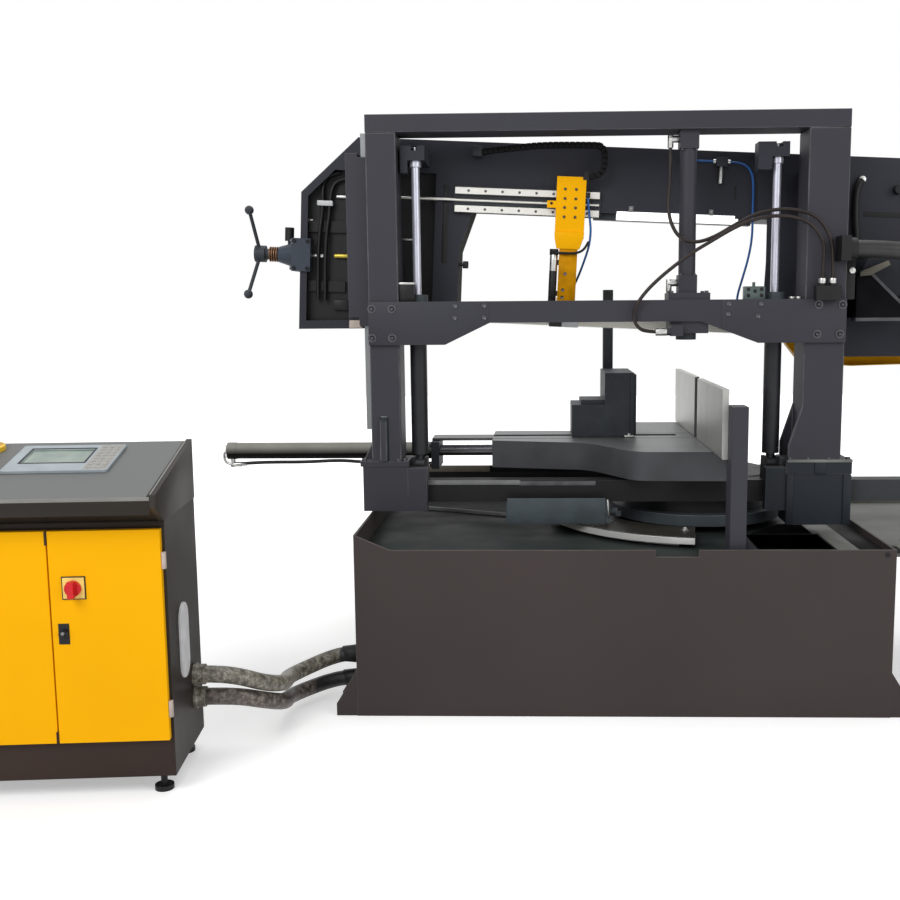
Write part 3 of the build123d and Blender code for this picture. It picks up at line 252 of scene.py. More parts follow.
def makeScreen(name, cloud, low, high, rough, coat):
    # Greenish display under a smooth cover
    tree, shader, spot = newFinish(name)
    glow = addNoise(tree, spot, cloud, 2.0)
    feed(tree, shader, {
        "Base Color": addRamp(tree, glow, [tint(*low), tint(*high)]),
        "Roughness": addRange(tree, glow, *rough), "Coat Weight": coat,
    })


makePaint("anthracite", (56, 56, 63), (0.42, 0.6), dust=0.1)
# Lighter paint for broken edges: partly wear, partly painted highlight
makePaint("anthraciteEdge", (92, 92, 96), cloud=16.0, dark=0.6, pale=1.2)
makePaint("headPaint", (45, 46, 54), (0.42, 0.6), dust=0.16)
makePaint("windowPaint", (40, 40, 41), (0.5, 0.68), cloud=9.0, dark=0.7, pale=1.3)
makePaint("revealPaint", (96, 98, 95), (0.6, 0.8), cloud=9.0, gloss=0.0)
# Painted shade: the tie beam darkens along X where it runs under the table
makePaint("tieBeamPaint", (54, 57, 60), cloud=5.0, paintedShade=("X", 0.46, 0.36), shadeColour=(24, 24, 26), dust=0.1)
makePaint("ringPaint", (66, 73, 78), (0.38, 0.55), cloud=7.0, dark=0.7)
# A lighter paint for edges and strips: partly wear, partly painted highlight where edges catch the light
makePaint("wornEdge", (120, 122, 120), cloud=12.0, dark=0.75, pale=1.15)
makePaint("basePaint", (62, 55, 54), (0.45, 0.62), cloud=1.4, dust=0.1)
# Lighter paint for the base's broken edges: partly wear, partly painted highlight
makePaint("baseEdge", (104, 98, 94), cloud=14.0, dark=0.6, pale=1.2)
makePaint("guardPaint", (34, 33, 34), (0.45, 0.6), cloud=7.0, dark=0.8, gloss=0.05)
makePaint("hemPaint", (112, 108, 98), cloud=10.0, dark=0.8)
makePaint("yellowPaint", (252, 182, 6), (0.34, 0.5), dark=0.96, pale=1.03, cloud=1.6, gloss=0.06)
# A darker copy of the yellow: painted shade on the arm's set-back lower plate
makePaint("armPaint", (206, 142, 4), (0.34, 0.5), dark=0.7, cloud=22.0, gloss=0.06)
makePaint("footPaint", (36, 41, 47), (0.42, 0.6), cloud=4.0, dust=0.1)
makePaint("lipPaint", (38, 33, 28), (0.42, 0.58), cloud=2.6)
makePaint("bandPaint", (32, 20, 8), (0.42, 0.58), cloud=2.6)
# Lighter yellow for broken edges: partly wear, partly painted highlight
makePaint("yellowEdge", (252, 200, 60), (0.3, 0.5), cloud=14.0, dark=0.85)
# Painted shade: the cabinet paint darkens towards the bottom
makePaint("cabinetPaint", (50, 46, 42), (0.42, 0.58), cloud=2.6, paintedShade=("Z", 0.75, 0.05), shadeColour=(30, 23, 21))
makePaint("plinthPaint", (50, 38, 34), (0.42, 0.58), cloud=2.6)
makePaint("deskPaint", (106, 108, 107), (0.4, 0.55), cloud=5.0, dark=0.92, pale=1.06)
makePaint("deskStrip", (136, 134, 130), (0.35, 0.5), cloud=9.0)
makePaint("keypadPaint", (156, 154, 150), (0.4, 0.55), cloud=60.0, dark=0.9)
# Painted shade: the tray darkens towards the back, under the tie beam
makePaint(
    "trayPaint", (46, 51, 50), cloud=6.0, dark=0.62, pale=1.3, gloss=0.05, paintedShade=("Y", -0.34, -0.02),
    shadeColour=(20, 21, 23),
)
makePaint("shelfPaint", (108, 109, 104), cloud=5.0, dark=0.85)
makePaint("motorPaint", (35, 37, 42), (0.4, 0.58), cloud=9.0, dark=0.7, pale=1.4, dust=0.12)
makePaint("blockPaint", (60, 67, 78), (0.4, 0.58), cloud=8.0, dust=0.12)
makePaint("clampPaint", (72, 80, 84), (0.4, 0.58), cloud=14.0, dark=0.8)
# Painted shade: the vise cylinder goes near black towards its underside
makePaint(
    "cylinderPaint", (142, 141, 134), (0.4, 0.55), cloud=8.0, gloss=0.06, paintedShade=("Z", 0.787, 0.759),
    shadeColour=(10, 8, 7),
)
makePaint("valvePaint", (92, 104, 102), (0.35, 0.5), cloud=20.0, dark=0.75)
makePaint("platePaint", (212, 212, 214), cloud=22.0, dark=0.84)
makePaint("bezelPaint", (160, 169, 174), (0.35, 0.5), cloud=12.0)
makePaint("creamPlate", (246, 214, 120), (0.3, 0.45), cloud=20.0)
makeMetal("groundSteel", (172, 172, 168), (0.34, 0.5), stretch=(1, 1, 14), soil=(96, 90, 82), metal=0.8)
makeMetal("scaleSteel", (224, 224, 220), (0.28, 0.42), stretch=(2, 2, 30), dirt=0.2, metal=0.4)
makeMetal("tableSteel", (114, 116, 117), (0.34, 0.52), stretch=(2, 24, 2), dirt=0.5, metal=0.7)
makeMetal("railSteel", (222, 220, 214), (0.32, 0.45), stretch=(1, 20, 20), dirt=0.18, metal=0.75)
makeMetal("columnRail", (122, 124, 126), (0.3, 0.45), stretch=(20, 20, 1))
makeMetal(
    "chrome", (196, 197, 210), (0.24, 0.36), stretch=(14, 14, 1), dirt=0.05, metal=0.6, bump=0.01, marks=8.0,
)
makeMetal("guideSteel", (84, 82, 84), (0.3, 0.45), stretch=(1, 20, 20), dirt=0.5, metal=0.8)
makeMetal("zinc", (186, 186, 184), (0.28, 0.42), marks=160.0)
makeMetal("screwSteel", (84, 84, 88), (0.35, 0.5), marks=220.0)
makeMetal("bladeSteel", (176, 174, 166), (0.25, 0.4), stretch=(1, 20, 20))
makeMetal("springSteel", (120, 92, 70), (0.35, 0.5), marks=120.0, metal=0.8)
makeMetal("brass", (176, 158, 70), (0.28, 0.42), marks=160.0)
makeCoat("castIron", (47, 51, 56), (0.45, 0.65), grain=180.0, bump=0.35)
makeCoat("tableIron", (69, 70, 73), (0.42, 0.62), grain=180.0, bump=0.3, wear=6.0)
makeCoat("liftPaint", (38, 39, 42), (0.35, 0.5), grain=300.0, bump=0.15)
makeCoat("scaleTop", (60, 58, 52), (0.3, 0.5), wear=9.0, metal=0.3)
makeCoat("blackRubber", (24, 24, 25), (0.34, 0.5))
makeCoat("brownHose", (38, 30, 28), (0.3, 0.46), wear=24.0)
makeCoat("conduitBlack", (34, 32, 33), (0.26, 0.4), wear=9.0, pale=1.5, gloss=0.4)
makeCoat("latchBrown", (48, 26, 12), (0.36, 0.52), grain=420.0)
# Flat black for sheets and blocks that stand in for shade: painted shade
makeCoat("soot", (27, 26, 28), (0.8, 0.95), gloss=0.0)
makeCoat("chainBlack", (13, 13, 15), (0.42, 0.6), gloss=0.12)
makeCoat("blackPlastic", (22, 22, 24), (0.36, 0.52), grain=420.0)
makeCoat("redPlastic", (214, 34, 40), (0.28, 0.4), grain=420.0, bump=0.08, pale=1.08)
makeCoat("yellowPlastic", (240, 196, 60), (0.28, 0.42), grain=420.0, bump=0.08, pale=1.05)
makeCoat("whitePlastic", (222, 224, 226), (0.3, 0.45), grain=420.0, bump=0.08, pale=1.05)
makeCoat("beigePlastic", (186, 172, 162), (0.34, 0.5), grain=380.0, bump=0.1)
makeCoat("greyPlastic", (128, 130, 132), (0.34, 0.5), grain=380.0, bump=0.1)
makeCoat("blueTube", (38, 86, 150), (0.22, 0.36), grain=420.0, bump=0.05)
makeBraid("upperBraid", colours=((72, 68, 60), (132, 126, 114), (176, 172, 160)), sleeve=-1.262)
makeBraid("lowerBraid", colours=((50, 44, 40), (98, 88, 82), (142, 134, 126)), sleeve=-1.335)
makeLamp(
    "lampCover", (246, 247, 248), dark=0.94, haze=60.0, rough=(0.35, 0.5), bump=0.05, depth=0.0003, glow=1.1,
)
makeScreen("screenGlass", cloud=12.0, low=(84, 108, 98), high=(126, 144, 130), rough=(0.1, 0.2), coat=0.5)
print("finishes made:", len(finish))


def breakEdges(bm, rims, width):
    return bmesh.ops.bevel(
        bm, geom=rims, offset=width * mm, segments=2, profile=0.5, affect="EDGES", material=-1,
    )


# Shapes in millimetres, laid into a mesh at a place
def box(bm, place, low, high, bevel=0.0):
    low, high = Vector(low) * mm, Vector(high) * mm
    new = bmesh.ops.create_cube(bm, size=1.0)["verts"]
    bmesh.ops.scale(bm, vec=high - low, verts=new)
    bmesh.ops.translate(bm, vec=(low + high) / 2, verts=new)
    if bevel:
        new = breakEdges(bm, list({edge for vert in new for edge in vert.link_edges}), bevel)["verts"]
    bmesh.ops.transform(bm, matrix=place, verts=new)


def rod(bm, place, start, end, radius, bevel=0.0, endRadius=None, sides=24):
    start, end = Vector(start) * mm, Vector(end) * mm
    axis = end - start
    lie = Matrix.Translation((start + end) / 2) @ axis.to_track_quat("Z", "Y").to_matrix().to_4x4()
    endRadius = radius if endRadius is None else endRadius
    new = bmesh.ops.create_cone(
        bm, cap_ends=True, segments=sides, radius1=radius * mm, radius2=endRadius * mm, depth=axis.length,
    )["verts"]
    if bevel:
        rims = [e for e in {e for v in new for e in v.link_edges} if len({v.co.z > 0 for v in e.verts}) == 1]
        made = breakEdges(bm, rims, bevel)
        new = list({v for f in made["faces"] for v in f.verts} | {v for v in new if v.is_valid})
    bmesh.ops.transform(bm, matrix=place @ lie, verts=new)


screwForm = {
    "sides": 12, "washer": 1.6, "washerThick": 2, "washerRise": 0.9, "taper": 0.94, "rim": 0.45, "socket": 0.6,
}


def screw(bm, place, point, outward, radius, height, washer=False):
    # Socket head screw: a head with a recess, on a washer where one shows
    form = screwForm
    point, outward = Vector(point) * mm, Vector(outward).normalized()
    turn = outward.to_track_quat("Z", "Y").to_matrix().to_4x4()
    if washer:
        wide = radius * form["washer"] * mm
        disc = bmesh.ops.create_cone(
            bm, cap_ends=True, segments=form["sides"] * 2, radius1=wide, radius2=wide,
            depth=form["washerThick"] * mm,
        )["verts"]
        lift = Matrix.Translation(point + outward * mm * form["washerRise"])
        bmesh.ops.transform(bm, matrix=place @ lift @ turn, verts=disc)
    head = bmesh.ops.create_cone(
        bm, cap_ends=True, segments=form["sides"], radius1=radius * mm, radius2=radius * form["taper"] * mm,
        depth=(height + 1) * mm,        # one millimetre stands in the piece below
    )["verts"]
    top = max({face for vert in head for face in vert.link_faces}, key=lambda face: face.calc_center_median().z)
    bmesh.ops.inset_individual(bm, faces=[top], thickness=radius * form["rim"] * mm, depth=0)
    bmesh.ops.translate(bm, vec=(0, 0, -height * form["socket"] * mm), verts=top.verts)
    head = list({vert for face in {f for v in head for f in v.link_faces} | {top} for vert in face.verts})
    lift = Matrix.Translation(point + outward * mm * (height - 1) / 2)
    bmesh.ops.transform(bm, matrix=place @ lift @ turn, verts=head)


def prism(bm, place, outline, axis, start, end, bevel=0.0):
    spots = {"x": lambda a, b: (start, a, b), "y": lambda a, b: (a, start, b), "z": lambda a, b: (a, b, start)}
    ring = [bm.verts.new(Vector(spots[axis](a, b)) * mm) for a, b in outline]
    grown = bmesh.ops.extrude_face_region(bm, geom=[bm.faces.new(ring)])["geom"]
    far = [part for part in grown if isinstance(part, bmesh.types.BMVert)]
    push = Vector([(end - start) * mm if axis == name else 0 for name in "xyz"])
    bmesh.ops.translate(bm, vec=push, verts=far)
    new = ring + far
    bmesh.ops.recalc_face_normals(bm, faces=list({face for vert in new for face in vert.link_faces}))
    if bevel:
        new = breakEdges(bm, list({edge for vert in new for edge in vert.link_edges}), bevel)["verts"]
    bmesh.ops.transform(bm, matrix=place, verts=new)


def screws(points, *sizes):
    return [(screw, point, *sizes) for point in points]


def border(left, low, right, high, width):
    # Corners of four strips round an opening
    return [
        ((left - width, low - width), (left, high + width)),
        ((right, low - width), (right + width, high + width)),
        ((left, low - width), (right, low)), ((left, high), (right, high + width)),
    ]


# Degrees, and the distance in metres at which two CAD vertices are one
softForm = {"pieceCrease": 35, "nodeCrease": 32, "sharp": 40, "flat": 0.6, "weld": 0.00002}


def makePiece(name, bm, body, look):
    bmesh.ops.recalc_face_normals(bm, faces=bm.faces)
    mesh = bpy.data.meshes.new(name)
    bm.to_mesh(mesh)
    bm.free()
    for face in mesh.polygons:
        face.use_smooth = True
    mesh.set_sharp_from_angle(angle=math.radians(softForm["pieceCrease"]))
    mesh.materials.append(finish[look])
    piece = bpy.data.objects.new(name, mesh)
    scene.collection.objects.link(piece)
    if body:
        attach(piece, body)
    return piece


def makePieces(body, rows, place=machine):
    # A row is a name, a finish, a slot, and shapes, each a function with its sizes
    made = {}
    for name, look, slot, *shapes in rows:
        bm = bmesh.new()
        for shape, *sizes in shapes:
            shape(bm, place, *sizes)
        made[name] = makePiece(name, bm, body, look)
    return made


def softenNode(node, width, look, edge=None, place=machine, parts=(), joined=True, outer=False):
    # A merged copy of the CAD mesh with broken edges; parts give some faces another finish
    bm = bmesh.new()
    bm.from_mesh(nodes[node].data)
    bmesh.ops.remove_doubles(bm, verts=bm.verts, dist=softForm["weld"])
    flat, sharp = math.radians(softForm["flat"]), math.radians(softForm["sharp"])
    if joined:
        bmesh.ops.dissolve_limit(bm, angle_limit=flat, verts=bm.verts, edges=bm.edges)
    else:               # walls with windows keep quads, a wide face can't close round a hole
        bmesh.ops.join_triangles(bm, faces=bm.faces, angle_face_threshold=flat, angle_shape_threshold=math.pi)
    back = place.inverted()
    turn = back.to_3x3()
    for face in bm.faces:
        face.smooth = True
        centre = back @ face.calc_center_median() / mm
        normal = turn @ face.normal
        for index, (_, test) in enumerate(parts):
            if test(centre, normal):
                face.material_index = index + 1
    weight = bm.edges.layers.float.new("bevel_weight_edge")
    for rim in bm.edges:
        rim[weight] = float(len(rim.link_faces) == 2 and rim.is_convex and rim.calc_face_angle() > sharp)
    mesh = bpy.data.meshes.new(node + "Soft")
    bm.to_mesh(mesh)
    bm.free()
    mesh.set_sharp_from_angle(angle=math.radians(softForm["nodeCrease"]))
    for one in [look] + [part[0] for part in parts]:
        mesh.materials.append(finish[one])
    piece = bpy.data.objects.new(node + "Soft", mesh)
    scene.collection.objects.link(piece)
    soft = piece.modifiers.new("brokenEdges", "BEVEL")
    soft.width = width * mm
    soft.segments = 2
    soft.limit_method = "WEIGHT" if outer else "ANGLE"      # inner corners of running fits stay sharp
    soft.angle_limit = sharp
    # The edge finish goes on the bevel faces: a lighter paint, partly wear, partly painted highlight
    if edge:
        mesh.materials.append(finish[edge])
        soft.material = len(mesh.materials) - 1
    level = piece.modifiers.new("levelFaces", "WEIGHTED_NORMAL")     # broad faces look flat up to their edges
    level.keep_sharp = True
    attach(piece, bodyOf[node])
    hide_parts(node)
    return piece


def makeHose(name, route, diameter, look, slot, body, place=machine, node=None):
    # The route's points are the control points of one smooth spline
    curve = bpy.data.curves.new(name, "CURVE")
    curve.dimensions = "3D"
    spline = curve.splines.new("NURBS")
    spline.points.add(len(route) - 1)
    for spot, corner in zip(spline.points, route):
        spot.co = (*(place @ (Vector(corner) * mm)), 1)
    spline.order_u = 3
    spline.use_endpoint_u = True
    curve.resolution_u = 10
    piece = bpy.data.objects.new(name, curve)
    scene.collection.objects.link(piece)
    line = bpy.data.meshes.new_from_object(piece)
    path = [vert.co.copy() for vert in line.vertices]
    bpy.data.meshes.remove(line)
    curve.bevel_depth = diameter / 2 * mm
    curve.bevel_resolution = 6
    curve.use_fill_caps = True
    curve.materials.append(finish[look])
    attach(piece, body)
    if node:
        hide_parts(node)
    return piece, path


def pathLength(path):
    return sum((b - a).length for a, b in zip(path, path[1:]))


floorConduits = {
    "diameter": 50.0,
    "plan": [
        (-1590.8, -991.4), (-1527.1, -985.9), (-1466, -956), (-1418, -910), (-1388, -851), (-1379, -786),
        (-1401, -663), (-1389, -596), (-1355, -537), (-1307, -493), (-1246, -470), (-1182, -470),
    ],
    "heights": {
        "upper": (254, 254, 234, 201, 176, 157, 129, 121, 123, 134, 147, 147),
        "lower": (186, 186, 173, 146, 119, 95, 62, 51, 49, 55, 63, 63),
    },
    "sleeveFrom": 27,
    "sleeveLength": 46.0,
    "sleeveRadii": (30.5, 26.0),
}


def makeFloorConduits(s):
    for name, heights in s["heights"].items():
        route = [(*spot, height) for spot, height in zip(s["plan"], heights)]
        hose, path = makeHose(
            name + "FloorConduit", route, s["diameter"], name + "Braid", "mottled_conduit", "base",
            node="floor_conduits",
        )
        way = (path[-4] - path[-1]).normalized()
        root, tip = (path[-1] / mm + way * (s["sleeveFrom"] + far) for far in (0, s["sleeveLength"]))
        wide, narrow = s["sleeveRadii"]
        sleeve = name + "ConduitSleeve"
        made = makePieces("base", [
            (sleeve, "blackRubber", "black_plastic", (rod, root, tip, wide, 0.8, narrow, 32)),
        ])


pressHoses = {
    "pressLowerHose": {"diameter": 12.0, "look": "brownHose", "route": [
        (352, -378, 1383), (352, -378, 1448), (356, -388, 1512), (308, -396, 1578), (242, -402, 1600),
        (174, -404, 1602), (106, -404, 1588), (42, -404, 1558), (-20, -403, 1521), (-80, -401, 1486),
        (-134, -398, 1446), (-183, -392, 1406), (-228, -386, 1362), (-262, -382, 1314), (-269, -380, 1276),
        (-256, -379, 1244), (-227, -378, 1227), (-158, -378, 1227),
    ]},
    "pressUpperHose": {"diameter": 12.0, "look": "brownHose", "route": [
        (386, -378, 1383), (386, -378, 1455), (380, -380, 1522), (340, -382, 1594), (272, -384, 1622),
        (197, -384, 1625), (126, -383, 1610), (61, -382, 1576), (-3, -381, 1537), (-66, -379, 1517),
        (-120, -374, 1534), (-149, -362, 1588), (-155, -345, 1651), (-147, -322, 1719), (-143, -300, 1784),
        (-143, -300, 1853),
    ]},
    "columnConduit": {"diameter": 58.0, "look": "conduitBlack", "route": [
        (428, -386, 1495), (552, -386, 1495), (668, -383, 1475), (764, -369, 1410), (828, -348, 1306),
        (848, -325, 1184), (846, -308, 1056), (840, -299, 928), (840, -299, 741),
    ]},
}


def makePressHoses(s):
    for name, one in s.items():
        hose, path = makeHose(
            name, one["route"], one["diameter"], one["look"], "black_hose", "swivel", node="column_hoses",
        )


headHoses = {
    "legHoses": (-1388, -1362),
    "legRoute": [
        (14, -81.3, 396), (12, -81.3, 350), (4, -84.3, 285), (0, -85.3, 195), (1, -82.3, 105), (2, -81.3, 40),
    ],
    "airTube": [
        (54, -114, 577), (84, -114, 577), (110, -115, 571), (130, -116, 555), (142, -118, 530),
        (147, -119, 484), (150, -120, 400), (154, -121, 320), (146, -121, 250), (133, -120, 190),
        (120, -119, 135), (116, -119, 108), (116, -119, 84),
    ],
    "shortTube": [(-74, -114, 577), (-20, -114, 577.4), (8, -114, 577)],
    "armTube": [
        (-432, -158, 431.7), (-424, -158, 372), (-415, -155, 318), (-419, -149, 264), (-433, -138, 214),
        (-446, -118, 172), (-458, -100, 140), (-469, -90, 112), (-469, -90, 84.3),
    ],
    "armLink": [
        (-545, -160, 241), (-534, -173, 238), (-495, -177, 236), (-458, -175, 239), (-434, -166, 254),
        (-422, -154, 280),
    ],
    "windowHoses": [
        [(-1375, -81.3, 390), (-1377, -80, 425), (-1372, -77, 462), (-1352, -74, 484), (-1318, -70, 494)],
        [(-1349, -81.3, 390), (-1347, -80, 420), (-1338, -77, 450), (-1318, -74, 468), (-1282, -70, 476)],
    ],
    "viseHose": [
        (-1752, 100, 717), (-1690, 100, 722), (-1600, 100, 724), (-1480, 100, 724), (-1353, 100, 731),
        (-1250, 100, 722), (-1070, 100, 718), (-990.3, 100, 718),
    ],
    "wide": 14,
    "tube": 8,
    "link": 9,
    "vise": 13,
}


def makeHeadHoses(s):
    black, blue = ("blackRubber", "black_hose"), ("blueTube", "blue_tube")
    for count, u in enumerate(s["legHoses"]):
        route = [(u + du, y, w) for du, y, w in s["legRoute"]]
        makeHose("legHose%d" % count, route, s["wide"], *black, "head", headPlace, "head_hoses")
    for name, route, diameter, kind, body, node, lay in (
        ("airTube", "airTube", "tube", blue, "head", "head_hoses", "hanging"),
        ("shortAirTube", "shortTube", "tube", blue, "head", "head_hoses", None),
        ("armTube", "armTube", "tube", blue, "guide_arm", "arm_tube", "hanging"),
        ("armLinkHose", "armLink", "link", black, "guide_arm", None, "hanging"),
    ):
        hose, path = makeHose(name, s[route], s[diameter], *kind, body, headPlace, node)
    for count, route in enumerate(s["windowHoses"]):
        makeHose("windowHose%d" % count, route, s["wide"], *black, "head", headPlace)
    makeHose("viseHose", s["viseHose"], s["vise"], *black, "base", node="vise_hose")


dragChain = {
    "route": [(-806, 574), (-700, 590), (-600, 604), (-440, 610), (-379, 610), (-379, 505), (-429, 505)],
    "y": -156.0,
    "pitch": 19.0,
    "link": (8.5, 13, 10),      # half sizes of a link and of the web that joins two
    "web": (11.5, 10, 8),
    "blendTo": (-751, 402),     # a point in u and w, like the route's
}


def makeDragChain(s):
    route = [(u, s["y"], w) for u, w in s["route"]]
    guide, path = makeHose("chainGuide", route, s["pitch"], "blackPlastic", "black_hose", "head")
    bpy.data.objects.remove(guide)
    length = pathLength(path)
    count = round(length / (s["pitch"] * mm))
    bm = bmesh.new()
    done, index = 0.0, 0
    for link in range(count):
        goal = (link + 0.5) * length / count
        while done + (path[index + 1] - path[index]).length < goal:
            done += (path[index + 1] - path[index]).length
            index += 1
        step = path[index + 1] - path[index]
        spot = path[index] + step.normalized() * (goal - done)
        lie = Matrix.Rotation(-math.atan2(step.z, step.x), 4, "Y")
        place = headPlace @ Matrix.Translation(spot) @ lie
        for half, bevel in ((s["link"], 1.2), (s["web"], 0.0)):
            box(bm, place, [-reach for reach in half], half, bevel)
    chain = makePiece("dragChain", bm, None, "chainBlack")
    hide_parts("arm_hose")
    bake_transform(chain)


makeFloorConduits(floorConduits)
makePressHoses(pressHoses)
makeHeadHoses(headHoses)
makeDragChain(dragChain)
print("hoses and conduits laid")

up, front, left, right = (0, 0, 1), (0, -1, 0), (-1, 0, 0), (1, 0, 0)

baseLook = {
    "fixings": [
        ("plugHole", "blackPlastic", "base_paint", (screw, (508, -665, 533), front, 8, 2)),
        ("scaleBolts", "zinc", "zinc", *screws([(-341, -251, 560), (-91, -407, 560)], up, 10, 8, True)),
    ],
    "scale": {"first": 191, "last": 261, "outer": 542.0, "top": 560.0, "short": 12, "long": 22, "every": 5},
    "guard": [      # the portal turns above it
        ("rearGuard", "guardPaint", "base_paint", (box, (-1168, 607, 533), (529, 612.5, 610), 0.8),
            (box, (-797, 607, 606), (529, 612.5, 634), 0.8)),
        ("guardHem", "hemPaint", "base_paint", (box, (-1168, 603, 606), (-795, 615, 634), 2)),
    ],
    "rib": {"start": (-1160, 223, 528), "end": (-640, -3, 528), "low": (-4, -5), "high": (4, 9), "bevel": 1.5},
    "sheets": {
        "chuteShade": ("soot", [(150, -302), (362, -302), (362, -140), (285, -140), (240, -200)]),
        "chuteLip": (
            "shelfPaint", [(383, -560), (452, -560), (452, -140), (363, -140), (363, -301), (383, -301)],
        ),
        "trayCorner": ("guardPaint", [(453, -600), (586, -600), (586, -90), (453, -90)]),
    },
    "sheetHeights": (523, 526),
    "upstand": ("shelfUpstand", "shelfPaint", "tray_sheet", (box, (606, 244, 531), (934, 250, 547), 1)),
}


def makeBase(s):
    softenNode("base_tank", 3.0, "basePaint", "baseEdge")
    softenNode("chip_tray", 1.0, "trayPaint", parts=[("shelfPaint", lambda c, n: c.x > 537)])
    softenNode("pedestal", 2.0, "ringPaint", "anthraciteEdge")
    softenNode(
        "angle_scale", 1.0, "scaleTop", parts=[("scaleSteel", lambda c, n: abs(n.z) < 0.5 and c.z > 530)],
    )
    makePieces("base", s["fixings"])
    ticks = s["scale"]
    bm = bmesh.new()
    for degree in range(ticks["first"], ticks["last"] + 1):
        reach = ticks["short"] if degree % ticks["every"] else ticks["long"]
        turn = Matrix.Rotation(math.radians(degree), 4, "Z")
        outer, top = ticks["outer"], ticks["top"]
        box(bm, turn, (outer - reach, -0.5, top - 0.5), (outer, 0.5, top + 0.4))
    makePiece("scaleTicks", bm, "base", "scaleSteel")
    makePieces("base", s["guard"])
    rib = s["rib"]
    start = Vector(rib["start"]) * mm
    run = Vector(rib["end"]) * mm - start
    lie = Matrix.Translation(start) @ Matrix.Rotation(math.atan2(run.y, run.x), 4, "Z")
    bar = (box, (0, *rib["low"]), (run.length / mm, *rib["high"]), rib["bevel"])
    # The rib takes the lighter edge paint: a painted highlight along its top
    makePieces("base", [("trayRib", "wornEdge", "tray_sheet", bar)], lie)
    makePieces("base", [
        (name, look, "tray_sheet", (prism, outline, "z", *s["sheetHeights"], 0.6))
        for name, (look, outline) in s["sheets"].items()
    ] + [s["upstand"]])


makeBase(baseLook)
print("base finished")

viseLook = {
    "tableTop": 825.0,
    "fittings": [
        ("viseEndNuts", "zinc", "zinc",
            *screws([(-1786, y, z) for y in (80, 120) for z in (749, 789)], left, 5, 5),
            (rod, (-1795, 100, 769), (-1785, 100, 769), 14, 1, None, 6)),
        ("viseElbow", "zinc", "zinc", (rod, (-1769, 100, 715), (-1769, 100, 739), 9.6, 0.8),
            (rod, (-1772, 100, 716), (-1734, 100, 716), 9.6, 0.8),
            (rod, (-1750, 100, 716), (-1716, 100, 716), 7.5, 0.5, 6.6)),
    ],
    "endPipe": [(-1790, 100, 768), (-1803, 100, 764), (-1804, 100, 736), (-1792, 100, 717), (-1768, 100, 716)],
    "endPipeWide": 10,
    "screws": [
        ("flangeScrews", "screwSteel", "zinc",
            *screws([(-990, y, z) for y in (30, 170) for z in (722, 796)], left, 8, 8)),
        ("jawScrews", "screwSteel", "zinc",
            *screws([(20, y, z) for y in (-480, -380, -280, -180, -80) for z in (880, 1000)], right, 8, 8)),
    ],
    "jaw": [
        ("jawSeam", "blackPlastic", "dark_iron", (box, (-243, 29.2, 826), (-240.4, 31, 1066.6), 0.3),
            (box, (-243, 29.2, 1064), (-240.4, 330, 1066.6), 0.3)),
        ("jawKeeper", "zinc", "zinc", (box, (-264, 4, 825.6), (-228, 31, 834), 1.5),
            (screw, (-246, 16, 834), up, 7, 6)),
    ],
}


def makeVise(s):
    softenNode(
        "vise_table", 2.0, "tableIron",
        parts=[("tableSteel", lambda c, n: n.z > 0.9 and c.z > s["tableTop"] - 4)],
    )
    softenNode(
        "fixed_jaws", 0.8, "groundSteel", parts=[("castIron", lambda c, n: abs(n.y) > 0.5 and -40 < c.y < 60)],
    )
    softenNode("jaw_supports", 1.5, "anthracite")
    softenNode("vise_guides", 0.8, "guideSteel")
    softenNode("vise_cylinder", 1.0, "cylinderPaint", parts=[("castIron", lambda c, n: c.x > -995)])
    softenNode("moving_jaw", 2.0, "castIron", parts=[("groundSteel", lambda c, n: n.x > 0.9 and c.x > -220)])
    softenNode("vise_rod", 0.6, "chrome")
    makePieces("base", s["fittings"])
    makeHose("viseEndPipe", s["endPipe"], s["endPipeWide"], "zinc", "zinc", "base")
    makePieces("base", s["screws"])
    makePieces("moving_jaw", s["jaw"])


makeVise(viseLook)
print("vise finished")

